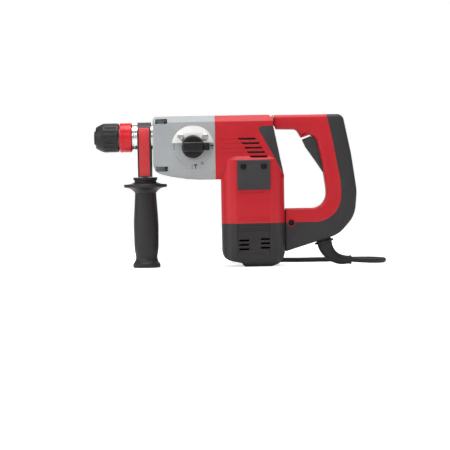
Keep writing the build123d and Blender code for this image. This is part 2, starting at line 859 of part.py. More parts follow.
# ---- plate, motor and its shafts ----------------------------------------------------------------
def gear_plate_bearings():
    """The bearings of the armature, the crank and the intermediate shaft."""
    motor = shaft_bearing(13.0, motor_shaft_r, plate_height, plate_z)
    crank = shaft_bearing(11.0, 6.0, plate_height, plate_z, crank_x)
    idler = shaft_bearing(9.0, 4.0, plate_height, plate_z, idler_x)
    return Compound(children=[b.solids()[0] for b in (motor, crank, idler)])


def gear_plate():
    top = plate_z + plate_height
    plate = block(joint_x + 1.5, 16.0, -21.5, 21.5, plate_z, top)
    plate += block(idler_x - 14.0, joint_x + 2.0, -16, 16, plate_z, top)
    plate -= along_z(13.0 + seat_gap, plate_z - 1, top + 1)
    plate -= along_z(11.0 + seat_gap, plate_z - 1, top + 1, crank_x)
    return plate - along_z(9.0 + seat_gap, plate_z - 1, top + 1, idler_x)


def shaft_bearing(outer, shaft, height, z, x=0.0):
    race = ring_z(outer, shaft + running_gap, z, z + height, x)
    mid = (outer + shaft) / 2
    return race - ring_z(mid + 1.2, mid - 1.2, z + height - 0.8, z + height + 1, x)


def armature_shaft():
    shaft = along_z(motor_shaft_r, 13.0, gear_z - 3.0)
    return shaft + Pos(0, 0, gear_z - 3.0) * spur_gear(pinion_teeth, gear_height + 6.0)


def armature_core():
    core = ring_z(core_r, motor_shaft_r + seat_gap, 52.0, 92.0)
    slot = Pos(core_r, 0, 72.0) * Box(3.0, 1.6, 50.0)
    for i in range(12):
        core -= Rot(0, 0, i * 30.0) * slot
    return core


def commutator():
    ring = ring_z(13.0, motor_shaft_r + seat_gap, 102.0, 122.0)
    slot = Pos(13.0, 0, 113.0) * Box(1.6, 0.6, 14.0)
    for i in range(24):
        ring -= Rot(0, 0, i * 15.0) * slot
    return ring


def cooling_fan():
    disc = ring_z(34.0, motor_shaft_r + seat_gap, 38.0, 40.0)
    disc += ring_z(9.0, motor_shaft_r + seat_gap, 28.0, 40.0)
    blade = Pos(22.0, 0, 34.0) * Box(22.0, 1.2, 9.0)
    for i in range(13):
        disc += Rot(0, 0, i * 360.0 / 13) * blade
    return disc


def stator():
    body = ring_z(stator_r, core_r + 1.0, 50.0, 96.0)
    return body - on_both_sides(block(-8, 8, stator_r - 4, stator_r + 4, 49, 97))


def brush_holders():
    z0 = cover_z0 + 4.5
    holder = block(-6.5, 6.5, 14.0, motor_half_width - 3.0, z0, z0 + 11.0)
    holder -= block(-4.0, 4.0, 10.0, motor_half_width, z0 + 2.5, z0 + 8.5)
    holder += block(-9.0, 9.0, motor_half_width - 3.0, motor_half_width - 1.0, z0, z0 + 11.0)
    return pair_of(holder)


def carbon_brushes():
    z0 = cover_z0 + 7.1
    brush = block(-3.9, 3.9, 13.0 + body_gap, 28.0, z0, z0 + 5.8)
    return pair_of(brush)


# ---- rear handle --------------------------------------------------------------------------------


def handle_outline():
    """The D handle's outer loop, without its hand opening."""
    return rounded_face(
        [
            (handle_top_x, 193.6, 0),
            (handle_top_x, head_top, 0),
            (125.2, head_top, 10),
            (136.3, 152.0, 200),
            (143.3, 101.0, 60),
            (140.2, 67.5, 40),
            (118.0, 41.8, 36),
            (handle_x, 19.4, 0),
            (handle_x, 78.6, 0),
            (101.6, 78.6, 20),
            (101.2, 104.0, 40),
            (97.0, 136.0, 120),
            (88.6, 174.6, 10),
            (80.1, 179.4, 0),
            (68.0, 175.0, 2),
            (61.5, 186.9, 8),
            (34.0, 187.6, 0),
        ]
    )


def back_region():
    """The dark rear half: everything behind and below the line where the two shells meet."""
    return rounded_face(
        [
            (102.8, head_top + 20, 0),
            (102.8, head_top, 0),
            (110.6, 172.0, 200),
            (121.4, 112.0, 120),
            (121.2, 59.5, 36),
            (handle_x - 10, 59.5, 0),
            (handle_x - 10, -10, 0),
            (180, -10, 0),
            (180, head_top + 20, 0),
        ]
    )


def handle_cavity():
    """The hollow inside both shells: the top bar, the grip and the lower arm."""
    half = handle_half_width - handle_wall
    top = slab(
        side_face([(handle_top_x + 3, 191), (handle_top_x + 3, 203.6), (118, 203.6), (124, 191)]),
        half,
    )
    grip = slab(
        side_face(
            [
                (86.0, 184.0),
                (90.0, 196.0),
                (124.5, 196.0),
                (131.5, 160.0),
                (137.5, 116.0),
                (138.5, 92.0),
                (134.0, 72.0),
                (125.0, 57.0),
                (112.0, 46.0),
                (92.0, 64.0),
                (104.5, 92.0),
                (103.0, 125.0),
                (95.0, 165.0),
                (91.5, 175.0),
            ]
        ),
        half,
    )
    arm = slab(
        side_face(
            [
                (handle_x - 3, 26.0),
                (handle_x - 3, 75.4),
                (80.0, 75.4),
                (92.0, 77.8),
                (118.0, 60.0),
                (108.5, 42.0),
                (82.0, 33.0),
            ]
        ),
        half,
    )
    return top + grip + arm


def trigger_face(margin=0.0):
    points = [
        (69.4 - margin, 173.0 + margin * 0.4),
        (80.6, 177.4 + margin),
        (90.5 + margin, 174.4 + margin),
        (96.0 + margin, 158.0),
        (104.4 + margin, 128.0 - margin * 0.4),
        (99.2 - margin * 0.4, 124.4 - margin),
        (93.0 - margin, 134.5 - margin * 0.5),
        (82.0 - margin, 150.9 - margin * 0.5),
        (74.0 - margin, 162.4 - margin * 0.5),
    ]
    return side_face(points)


def trigger():
    body = slab(trigger_face(), trigger_half_width)
    body -= slab(
        side_face([(90.5, 169.0), (93.5, 158.0), (97.5, 139.0), (96.0, 138.0), (84.0, 158.0), (82.0, 169.0)]),
        trigger_half_width - 2.5,
    ) & block(86.5, 120, -20, 20, 100, 200)
    return body - along_y(trigger_pin_r + running_gap, -20, 20, trigger_pin_x, trigger_pin_z)


def trigger_room():
    """What the trigger sweeps as it is squeezed, with a little play all round."""
    room = None
    steps = 5
    for i in range(steps):
        angle = -1.0 + i * (trigger_travel + 2.0) / (steps - 1)
        axis = Axis((trigger_pin_x, 0, trigger_pin_z), (0, 1, 0))
        swept = slab(trigger_face(body_gap + 0.2), trigger_half_width + 0.5).rotate(axis, angle)
        room = swept if room is None else room + swept
    return room


def handle_parts():
    """Left and right front shells and the dark rear shell, cut from one hollow blank."""
    solid = slab(handle_outline(), handle_half_width)
    edges = []
    for e in solid.edges():
        c = e.center()
        flat = abs(abs(c.Y) - handle_half_width) < 0.01
        outer = c.Z > head_top - 1 or c.X > 108 or (c.Z < 42 and c.X > handle_x + 1)
        if flat and outer:
            edges.append(e)
    solid = fillet(edges, handle_round)
    hollow = solid - handle_cavity()
    boss = along_y(4.6, trigger_half_width + 0.5, handle_half_width - 1.0, trigger_pin_x, trigger_pin_z)
    hollow += on_both_sides(boss) & solid
    room = trigger_room()
    hollow -= room
    hollow -= along_y(trigger_pin_r + seat_gap, -16.4, 16.4, trigger_pin_x, trigger_pin_z)
    # The lower arm straddles the motor housing's lug.
    hollow -= block(handle_x - 5, pivot_x + 11, -lug_half_width - 0.4, lug_half_width + 0.4, 46.0, 72.0)
    hollow -= along_y(pivot_r + running_gap, -40, 40, pivot_x, pivot_z)
    for side in (-1, 1):
        low, high = sorted((side * (handle_half_width - 2.4), side * 40.0))
        hollow -= along_y(pivot_head_r + 0.5, low, high, pivot_x, pivot_z)
    # The cord boot enters from below, and the bellows from the front.
    hollow -= boot_hole()
    back = slab(back_region(), 60.0)
    front = hollow - back
    rear = hollow & back
    left = front & block(0, 200, -60, 0, 0, 260)
    right = front & block(0, 200, 0, 60, 0, 260)
    return left, right, rear


def boot_direction():
    a = math.radians(boot_angle)
    return Vector(math.cos(a), 0, -math.sin(a))


def boot_hole():
    plane = Plane(origin=(boot_x, 0, boot_z), z_dir=boot_direction())
    hole = plane * Circle(boot_root_r + 0.1)
    return extrude(hole, -16.0) + extrude(hole, 20.0)


def pivot_bolt():
    """The bolt that the rear handle rocks on, with a socketed head sunk in each side of the arm."""
    face = handle_half_width - 2.4
    bolt = along_y(pivot_r, -face, face, pivot_x, pivot_z)
    head = Pos(pivot_x, -face, pivot_z) * socket_head(pivot_head_r, 2.0)
    return bolt + on_both_sides(head)


def switch_body():
    body = block(104.5, 124.0, -9.5, 9.5, 132.0, 172.0)
    body = chamfer(body.edges().filter_by(Axis.Y), 2.0)
    return body + block(106.0, 122.0, -15.0, 15.0, 140.0, 146.0)


def trigger_spring():
    spring = coil_spring(6.8, 3.2, 4, 0.45)
    return Pos(96.9, 0, 163.5) * Rot(0, 90, 0) * spring


def trigger_pin():
    return along_y(trigger_pin_r, -16.2, 16.2, trigger_pin_x, trigger_pin_z)


def handle_bellows():
    """A rubber bellows that closes the gap between motor housing and top bar."""
    x0 = rear_top_x
    face = block(x0, x0 + handle_gap - 0.2, -14, 14, 193.0, 203.5)
    return face - block(x0 - 1, x0 + handle_gap + 1, -11, 11, 195.5, 201.0)


# ---- side handle --------------------------------------------------------------------------------
def frame_outer(inset=0.0):
    """A band round the neck with two cheeks running down to the grip."""
    x0 = side_x - clamp_width / 2
    x1 = side_x + clamp_width / 2
    band = along_x(frame_r - inset, x0, x1)
    foot_half = 15.4 - inset
    cheeks = Plane.YZ * make_face(
        Polyline(
            (-foot_half, frame_foot),
            (-frame_r + inset + 0.3, spindle_z - 14.0),
            (-frame_r + inset, spindle_z),
            (frame_r - inset, spindle_z),
            (frame_r - inset - 0.3, spindle_z - 14.0),
            (foot_half, frame_foot),
            close=True,
        )
    )
    return band + Pos(x0, 0, 0) * extrude(cheeks, x1 - x0)


def side_handle_frame():
    body = frame_outer()
    body -= along_x(neck_r + running_gap, side_x - 20, side_x + 20)
    room = block(side_x - insert_half, side_x + insert_half, -40, 40, frame_foot + 1.2, spindle_z + 12.8)
    room -= block(side_x - 20, side_x + 20, -9.0, 9.0, spindle_z - 60, spindle_z + 30)
    body -= room - frame_outer(side_insert_depth)
    # The clamp's slack: a slot under the neck that the bolt draws shut.
    body -= block(side_x - 20, side_x + 20, -9.5, 9.5, 139.0, 150.0)
    return body - along_z(clamp_bolt_r + running_gap, frame_foot - 1, 172.0, side_x)


def side_inserts():
    layer = frame_outer(0.0) - frame_outer(side_insert_depth - seat_gap)
    half = insert_half - 0.1
    room = block(side_x - half, side_x + half, -40, 40, frame_foot + 1.3, spindle_z + 12.7)
    room -= block(side_x - 20, side_x + 20, -9.1, 9.1, spindle_z - 60, spindle_z + 30)
    pieces = layer & room
    keep = sorted(pieces.solids(), key=lambda s: -s.volume)[:2]
    return Compound(children=keep)


def side_grip():
    outline = [
        Line((0, frame_foot - body_gap), (16.6, frame_foot - body_gap)),
        Line((16.6, frame_foot - body_gap), (16.6, frame_foot - 3.6)),
        Line((16.6, frame_foot - 3.6), (15.0, frame_foot - 4.6)),
        Line((15.0, frame_foot - 4.6), (15.0, frame_foot - 6.6)),
        Spline((15.0, frame_foot - 6.6), (19.0, 116.4), (grip_flange_r - 1.0, 115.0)),
        Line((grip_flange_r - 1.0, 115.0), (grip_flange_r, 114.0)),
        Line((grip_flange_r, 114.0), (grip_flange_r, 111.6)),
        Line((grip_flange_r, 111.6), (grip_flange_r - 1.2, 110.6)),
        Spline((grip_flange_r - 1.2, 110.6), (19.5, 108.0), (14.6, 103.0)),
        Spline(
            (14.6, 103.0),
            (15.5, 88.0),
            (16.6, 70.0),
            (17.1, 54.0),
            (17.0, 38.0),
            (16.1, 22.0),
            (15.2, 12.0),
            (17.0, 7.6),
        ),
        Line((17.0, 7.6), (19.0, 5.4)),
        Line((19.0, 5.4), (19.0, 1.2)),
        Line((19.0, 1.2), (17.8, 0)),
        Line((17.8, 0), (0, 0)),
        Line((0, 0), (0, frame_foot - body_gap)),
    ]
    face = Plane.XZ * make_face(Wire(outline))
    grip = revolve(face, Axis.Z, 360)
    grip = Pos(side_x, 0, 0) * grip
    return grip - along_z(clamp_bolt_r + seat_gap, 92.0, 130.0, side_x)


def clamp_bolt():
    return along_z(clamp_bolt_r, 92.2, 152.0, side_x)


# ---- cord ---------------------------------------------------------------------------------------
def boot_path():
    d = boot_direction()
    a = math.radians(boot_angle)
    start = Vector(boot_x, 0, boot_z)
    bend0 = start + d * boot_straight
    centre = bend0 + Vector(math.sin(a), 0, math.cos(a)) * boot_bend_r
    end = centre - Vector(0, 0, boot_bend_r)
    return start, bend0, centre, end


def boot_exit():
    end = boot_path()[3]
    return end + Vector(boot_tail, 0, 0)


def cord_boot():
    """A tapered rubber sleeve with a collar, bent from the handle down to the resting plane."""
    start, bend0, centre, end = boot_path()
    a = math.radians(boot_angle)
    mid = centre - Vector(math.sin(a / 2), 0, math.cos(a / 2)) * boot_bend_r
    stations = [
        (start, boot_direction(), boot_root_r),
        (bend0, boot_direction(), boot_root_r - 1.0),
        (mid, Vector(math.cos(a / 2), 0, -math.sin(a / 2)), boot_root_r - 2.8),
        (end, Vector(1, 0, 0), boot_end_r + 0.4),
        (boot_exit(), Vector(1, 0, 0), boot_end_r),
    ]
    sections = [Plane(origin=p, z_dir=d) * Circle(r) for p, d, r in stations]
    sleeve = loft(sections)
    plane = Plane(origin=start, z_dir=boot_direction())
    root = extrude(plane * Circle(boot_root_r), -10.0)
    collar = extrude(plane * Circle(boot_root_r + 3.0), 2.6)
    return sleeve + root + collar


exit_point = boot_exit()
turn_x = exit_point.X + 8.0


def turn_point(angle):
    """A corner of the wide bend that takes the cord round behind the object."""
    a = math.radians(angle)
    reach = turn_r / math.cos(math.radians(18.0))
    return (turn_x + reach * math.cos(a), turn_r + reach * math.sin(a), cord_height)


# From the boot the cord bends round and runs back behind the object into the coil's inner column.
lead_points = [
    (exit_point.X, exit_point.Y, exit_point.Z),
    turn_point(-72.0)[:2] + (cord_height + 0.6,),
    turn_point(-36.0),
    turn_point(0.0),
    turn_point(36.0),
    turn_point(72.0),
    (turn_x - 32.0, 79.2, cord_height),
    (turn_x - 84.0, 77.6, cord_height),
    (coil_x + 30.0, 75.6, cord_height + 0.8),
    (coil_x + 4.0, coil_y - inner_column_r, coil_base + coil_pitch / 2),
]
# Its other end leaves the outer column one layer up and ends in the plug.
tail_points = [
    (coil_x - outer_column_r, coil_y - 6.0, coil_base + 1.5 * coil_pitch),
    (coil_x - outer_column_r - 0.4, coil_y + 12.0, 12.0),
    (coil_x - outer_column_r + 3.1, coil_y + 32.0, 10.8),
    (coil_x - outer_column_r + 11.6, coil_y + 50.0, 11.6),
    (coil_x - outer_column_r + 22.6, coil_y + 65.5, plug_r + 0.3),
]


def corner_radii(points):
    """Each corner's radius: 0.45 of its shorter run over the tangent of half its turn."""
    radii = []
    for i in range(1, len(points) - 1):
        a = Vector(*points[i]) - Vector(*points[i - 1])
        b = Vector(*points[i + 1]) - Vector(*points[i])
        turn = math.radians(a.get_angle(b))
        radii.append(0.45 * min(a.length, b.length) / math.tan(turn / 2))
    return radii


def cord_tube(points):
    path = FilletPolyline(*points, radius=corner_radii(points))
    section = Plane(origin=path @ 0, z_dir=path % 0) * Circle(cord_r)
    return sweep(section, path), path.length


def cord_coil():
    coil = ring_z(coil_outer_r, coil_inner_r, coil_base, coil_z1)
    coil = fillet(coil.edges(), cord_r * 0.8)
    coil = Pos(coil_x, coil_y, 0) * coil
    return coil - tie_shape(0.1)


def tie_shape(margin=0.0):
    """A strap round the coil's section at its far side."""
    t = tie_thickness
    x0 = coil_x - tie_width / 2 - margin
    x1 = coil_x + tie_width / 2 + margin
    y0 = coil_y + coil_inner_r - t
    y1 = coil_y + coil_outer_r + t
    strap = block(x0, x1, y0 - margin, y1 + margin, coil_base - t, coil_z1 + t + margin)
    return strap - block(x0 - 1, x1 + 1, y0 + t + 0.9, y1 - t - 0.9, coil_base + 0.2, coil_z1 - 0.2 - margin)


def plug_frame():
    end = Vector(*tail_points[-1])
    before = Vector(*tail_points[-2])
    flat = Vector(end.X - before.X, end.Y - before.Y, 0).normalized()
    return Plane(origin=end, z_dir=flat, x_dir=Vector(0, 0, 1).cross(flat))


def plug_body():
    frame = plug_frame()
    neck = loft([frame * Circle(5.4), frame.offset(14.0) * Circle(7.6)])
    wide = 18.5
    front = frame.offset(14.0)
    body = extrude(front * RectangleRounded(2 * wide, 2 * plug_r - 1.0, 9.0), plug_length - 14.0)
    return neck + body


def plug_pins():
    frame = plug_frame().offset(plug_length)
    pins = []
    for side in (-1, 1):
        place = frame * Pos(side * plug_pin_spacing / 2, 0, 0) * Circle(plug_pin_r)
        pin = extrude(place, plug_pin_length)
        pins.append(pin.solids()[0])
    return Compound(children=pins)


# ---- build and write ----------------------------------------------------------------------------
handle_left, handle_right, handle_back = handle_parts()
cord_lead, lead_length = cord_tube(lead_points)
cord_tail, tail_length = cord_tube(tail_points)

parts = {
    "gear_housing": gear_housing(),
    "bearing_neck": bearing_neck(),
    "motor_housing": motor_housing(),
    "housing_inserts": housing_inserts(),
    "base_cap": base_cap(),
    "brush_covers": brush_covers(),
    "cover_screws": cover_screws(),
    "housing_screws": housing_screws(),
    "selector_plate": selector_plate(),
    "plate_screws": plate_screws(),
    "selector_knob": selector_knob(),
    "selector_lock_button": lock_button(),
    "selector_shaft": selector_shaft(),
    "dust_cap": dust_cap(),
    "tool_holder": tool_holder(),
    "locking_balls": locking_balls(),
    "locking_sleeve": locking_sleeve(),
    "release_ring": release_ring(),
    "sleeve_spring": sleeve_spring(),
    "spindle": spindle(),
    "bevel_gear": bevel_gear(),
    "bevel_pinion_shaft": bevel_pinion(),
    "intermediate_gear": intermediate_gear(),
    "crank_gear": crank_gear(),
    "connecting_rod": connecting_rod(),
    "piston": piston(),
    "wrist_pin": wrist_pin(),
    "striker": striker(),
    "beat_piece": beat_piece(),
    "spindle_bearings": spindle_bearings(),
    "gear_plate": gear_plate(),
    "gear_plate_bearings": gear_plate_bearings(),
    "lower_motor_bearing": shaft_bearing(11.0, motor_shaft_r, 7.0, 12.0),
    "armature_shaft": armature_shaft(),
    "armature_core": armature_core(),
    "commutator": commutator(),
    "cooling_fan": cooling_fan(),
    "stator": stator(),
    "brush_holders": brush_holders(),
    "carbon_brushes": carbon_brushes(),
    "handle_shell_left": handle_left,
    "handle_shell_right": handle_right,
    "handle_back_shell": handle_back,
    "handle_pivot_bolt": pivot_bolt(),
    "handle_bellows": handle_bellows(),
    "switch_body": switch_body(),
    "trigger": trigger(),
    "trigger_pin": trigger_pin(),
    "trigger_spring": trigger_spring(),
    "side_handle_frame": side_handle_frame(),
    "side_handle_inserts": side_inserts(),
    "side_grip": side_grip(),
    "clamp_bolt": clamp_bolt(),
    "cord_boot": cord_boot(),
    "cord_lead": cord_lead,
    "cord_coil": cord_coil(),
    "cord_tie": tie_shape(),
    "cord_tail": cord_tail,
    "plug_body": plug_body(),
    "plug_pins": plug_pins(),
}

for name, shape in parts.items():
    export_step(shape, f"parts/{name}.step")

coil_length = coil_turns * 2 * math.pi * coil_mean_r
print("lead radii", [round(r, 1) for r in corner_radii(lead_points)], "length", round(lead_length, 1))
print("tail radii", [round(r, 1) for r in corner_radii(tail_points)], "length", round(tail_length, 1))
print("cord length", round(lead_length + tail_length + coil_length, 1))
print("lead volume over section times length", cord_lead.volume / (math.pi * cord_r**2 * lead_length))
print("nodes", len(parts))
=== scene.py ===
import json
import math

import bmesh
import bpy
from mathutils import Matrix, Vector

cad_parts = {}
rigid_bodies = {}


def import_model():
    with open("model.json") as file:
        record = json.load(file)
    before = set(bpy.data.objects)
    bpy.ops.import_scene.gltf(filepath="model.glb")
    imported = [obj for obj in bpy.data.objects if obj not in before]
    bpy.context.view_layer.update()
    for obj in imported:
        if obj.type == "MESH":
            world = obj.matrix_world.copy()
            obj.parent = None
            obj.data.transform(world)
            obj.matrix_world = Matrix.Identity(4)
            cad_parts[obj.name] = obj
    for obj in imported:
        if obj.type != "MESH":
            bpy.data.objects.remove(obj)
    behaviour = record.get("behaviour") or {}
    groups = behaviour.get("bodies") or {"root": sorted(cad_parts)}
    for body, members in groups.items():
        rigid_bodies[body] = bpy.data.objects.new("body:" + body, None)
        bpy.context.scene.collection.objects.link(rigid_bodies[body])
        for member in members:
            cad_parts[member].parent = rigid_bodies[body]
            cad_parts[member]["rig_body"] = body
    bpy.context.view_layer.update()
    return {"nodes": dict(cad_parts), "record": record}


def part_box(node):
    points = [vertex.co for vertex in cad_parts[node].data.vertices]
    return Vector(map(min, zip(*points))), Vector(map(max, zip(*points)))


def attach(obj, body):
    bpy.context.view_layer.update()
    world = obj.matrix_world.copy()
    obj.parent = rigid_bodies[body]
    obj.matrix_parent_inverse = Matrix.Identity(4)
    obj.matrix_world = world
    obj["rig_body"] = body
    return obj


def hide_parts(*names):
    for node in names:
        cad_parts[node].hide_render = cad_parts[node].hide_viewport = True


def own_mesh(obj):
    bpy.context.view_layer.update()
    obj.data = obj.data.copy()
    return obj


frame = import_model()
mm = 0.001

# ---- The studio ----------------------------------------------------------------------------------
# The tool stands on a pale sweep of card. Soft boxes hang above, in front and at both ends of it,
# and a long lens looks at its left side from a little above.
lens_distance = 2.6
view_width = 0.61875
aim = Vector((-0.0387, -0.012, 0.0571))
tilt = math.radians(1.4)
lean = math.radians(-1.0)

camera_data = bpy.data.cameras.new("side_camera")
camera_data.sensor_width = 36.0
camera_data.lens = 36.0 * lens_distance / view_width
camera_data.clip_end = 50.0
camera = bpy.data.objects.new("side_camera", camera_data)
camera.matrix_world = (
    Matrix.Translation(aim + lens_distance * Vector((0, -math.cos(tilt), math.sin(tilt))))
    @ Matrix.Rotation(math.pi / 2 - tilt, 4, "X")
    @ Matrix.Rotation(lean, 4, "Z")
)
bpy.context.scene.collection.objects.link(camera)
bpy.context.scene.camera = camera
bpy.context.scene.view_settings.view_transform = "Standard"


def soft_box(name, place, target, size, watts):
    data = bpy.data.lights.new(name, "AREA")
    data.shape = "RECTANGLE"
    data.size, data.size_y = size
    data.energy = watts
    lamp = bpy.data.objects.new(name, data)
    lamp.location = place
    lamp.rotation_euler = (Vector(target) - Vector(place)).to_track_quat("-Z", "Y").to_euler()
    bpy.context.scene.collection.objects.link(lamp)


soft_box("overhead_box", (0.0, -0.15, 1.5), (0, 0, 0.1), (1.5, 0.9), 27)
soft_box("front_box", (-0.7, -1.7, 1.0), (0, 0, 0.1), (0.8, 0.8), 9)
soft_box("nose_box", (-1.5, -0.6, 0.7), (-0.1, 0, 0.1), (0.35, 1.1), 8)
soft_box("rear_box", (1.5, -0.3, 0.6), (0.1, 0, 0.12), (0.35, 1.1), 2)
soft_box("back_box", (0.2, 1.7, 1.0), (0, 0, 0.1), (1.4, 0.8), 9)

world = bpy.data.worlds.new("studio_air")
bpy.context.scene.world = world
world.use_nodes = True
world.node_tree.nodes["Background"].inputs["Color"].default_value = (1, 1, 1, 1)
world.node_tree.nodes["Background"].inputs["Strength"].default_value = 0.24


usual_crease = 32.0  # degrees: a sharper edge than this stays sharp


def mesh_piece(name, bm, material=None, smooth_angle=usual_crease):
    """A finished piece from mesh code: normals outward, smooth up to the given angle."""
    mesh = bpy.data.meshes.new(name)
    bm.to_mesh(mesh)
    bm.free()
    if "custom_normal" in mesh.attributes:
        mesh.attributes.remove(mesh.attributes["custom_normal"])
    mesh.polygons.foreach_set("use_smooth", [True] * len(mesh.polygons))
    mesh.set_sharp_from_angle(angle=math.radians(smooth_angle))
    piece = bpy.data.objects.new(name, mesh)
    bpy.context.scene.collection.objects.link(piece)
    if material:
        mesh.materials.clear()
        mesh.materials.append(material)
    return piece


def node_value(tree, kind, settings=None, **inputs):
    """A shader or geometry node with its settings and its unlinked inputs filled in."""
    node = tree.nodes.new(kind)
    for key, value in (settings or {}).items():
        setattr(node, key, value)
    for key, value in inputs.items():
        node.inputs[key.replace("_", " ")].default_value = value
    return node


def card_material():
    material = bpy.data.materials.new("pale_card")
    material.use_nodes = True
    tree = material.node_tree
    shader = tree.nodes["Principled BSDF"]
    shader.inputs["Roughness"].default_value = 0.75
    shader.inputs["Emission Color"].default_value = (1, 1, 1, 1)
    seen = tree.nodes.new("ShaderNodeLightPath")
    glow = node_value(tree, "ShaderNodeMapRange", To_Min=0.06, To_Max=0.62)
    tree.links.new(seen.outputs["Is Camera Ray"], glow.inputs["Value"])
    tree.links.new(glow.outputs["Result"], shader.inputs["Emission Strength"])
    place = tree.nodes.new("ShaderNodeTexCoord")
    fibre = node_value(tree, "ShaderNodeTexNoise", Scale=420.0, Detail=3.0)
    tone = node_value(tree, "ShaderNodeMapRange", To_Min=0.86, To_Max=0.9)
    tree.links.new(place.outputs["Object"], fibre.inputs["Vector"])
    tree.links.new(fibre.outputs["Fac"], tone.inputs["Value"])
    tree.links.new(tone.outputs["Result"], shader.inputs["Base Color"])
    return material


sweep = bmesh.new()
sweep_front, sweep_bend, sweep_top, half_sweep = -9.0, 2.2, 5.0, 6.0
bend_r, bend_steps = 1.2, 12
under_tool = 0.0002
sweep_rows = [(sweep_front, 0.0)]
for i in range(bend_steps + 1):
    a = math.pi / 2 * i / bend_steps
    sweep_rows.append((sweep_bend + bend_r * math.sin(a), bend_r - bend_r * math.cos(a)))
sweep_rows.append((sweep_bend + bend_r, sweep_top))
sweep_verts = []
for y, z in sweep_rows:
    sweep_verts.append([sweep.verts.new((x, y, z - under_tool)) for x in (-half_sweep, half_sweep)])
for low, high in zip(sweep_verts, sweep_verts[1:]):
    sweep.faces.new((low[0], low[1], high[1], high[0]))
card = mesh_piece("card_sweep", sweep, card_material(), 60.0)

# ---- The mains cord ------------------------------------------------------------------------------
# Two-core rubber cord, 7 mm thick. It leaves the boot, turns round behind the tool and is wound into
# a tied coil there, first up the inside and then down the outside, with its plug beside it.
cord_r = 3.5 * mm
cord_exit = (0.1351, 0.0, 0.0062)
cord_start = [
    cord_exit,
    (0.1561, 0.0, 0.0042),
    (0.1771, 0.0153, 0.0036),
    (0.1852, 0.0400, 0.0036),
    (0.1771, 0.0647, 0.0036),
    (0.1561, 0.0800, 0.0036),
    (0.1111, 0.0792, 0.0036),
    (0.0591, 0.0776, 0.0036),
    (0.0335, 0.0756, 0.0044),
    (0.0150, 0.0750, 0.0052),
]
coil_centre = Vector((0.0035, 0.106, 0.0))
inner_r, outer_r = 31.4 * mm, 38.6 * mm
low_z, rise = 5.6 * mm, 7.2 * mm
points_per_turn = 16
cord_end = [
    (-0.0355, 0.1180, 0.0120),
    (-0.0320, 0.1380, 0.0108),
    (-0.0235, 0.1560, 0.0116),
    (-0.0125, 0.1715, 0.0138),
]
coil_points = []
column_turns = 9
crossing = 0.25  # share of a turn in which the cord steps out to the second column
all_turns = 2 * column_turns - 0.75
for i in range(int(all_turns * points_per_turn) + 1):
    turn = i / points_per_turn
    a = -math.pi / 2 - 2 * math.pi * turn
    if turn <= column_turns:
        r, z = inner_r, low_z + rise * turn
    elif turn <= column_turns + crossing:
        stepped = (turn - column_turns) / crossing
        r, z = inner_r + (outer_r - inner_r) * stepped, low_z + rise * column_turns
    else:
        r, z = outer_r, low_z + rise * (2 * column_turns + crossing - turn)
    coil_points.append(coil_centre + Vector((r * math.cos(a), r * math.sin(a), z)))


def group_with(name, inputs, outputs):
    group = bpy.data.node_groups.new(name, "ShaderNodeTree")
    for label, default in inputs:
        socket = group.interface.new_socket(label, in_out="INPUT", socket_type="NodeSocketFloat")
        socket.default_value = default
    for label, kind in outputs:
        group.interface.new_socket(label, in_out="OUTPUT", socket_type=kind)
    return group, group.nodes.new("NodeGroupInput"), group.nodes.new("NodeGroupOutput")


def link(tree, *pairs):
    for start, end in pairs:
        tree.links.new(start, end)


def surface_grain_group():
    """Spark-eroded grain: rounded pips of the given pitch in metres, with finer noise between them."""
    group, given, result = group_with(
        "surface_grain", [("Pitch", 0.0006), ("Coarse", 0.5)], [("Height", "NodeSocketFloat")]
    )
    place = group.nodes.new("ShaderNodeTexCoord")
    per_metre = node_value(group, "ShaderNodeMath", {"operation": "DIVIDE"})
    per_metre.inputs[0].default_value = 1.0
    pips = node_value(group, "ShaderNodeTexVoronoi", {"feature": "SMOOTH_F1"}, Smoothness=0.6)
    fine = node_value(group, "ShaderNodeTexNoise", Detail=3.0, Roughness=0.6)
    blend = node_value(group, "ShaderNodeMix", {"data_type": "FLOAT"})
    link(
        group,
        (given.outputs["Pitch"], per_metre.inputs[1]),
        (place.outputs["Object"], pips.inputs["Vector"]),
        (place.outputs["Object"], fine.inputs["Vector"]),
        (per_metre.outputs[0], pips.inputs["Scale"]),
        (per_metre.outputs[0], fine.inputs["Scale"]),
        (given.outputs["Coarse"], blend.inputs[0]),
        (fine.outputs["Fac"], blend.inputs[2]),
        (pips.outputs["Distance"], blend.inputs[3]),
        (blend.outputs[0], result.inputs["Height"]),
    )
    return group


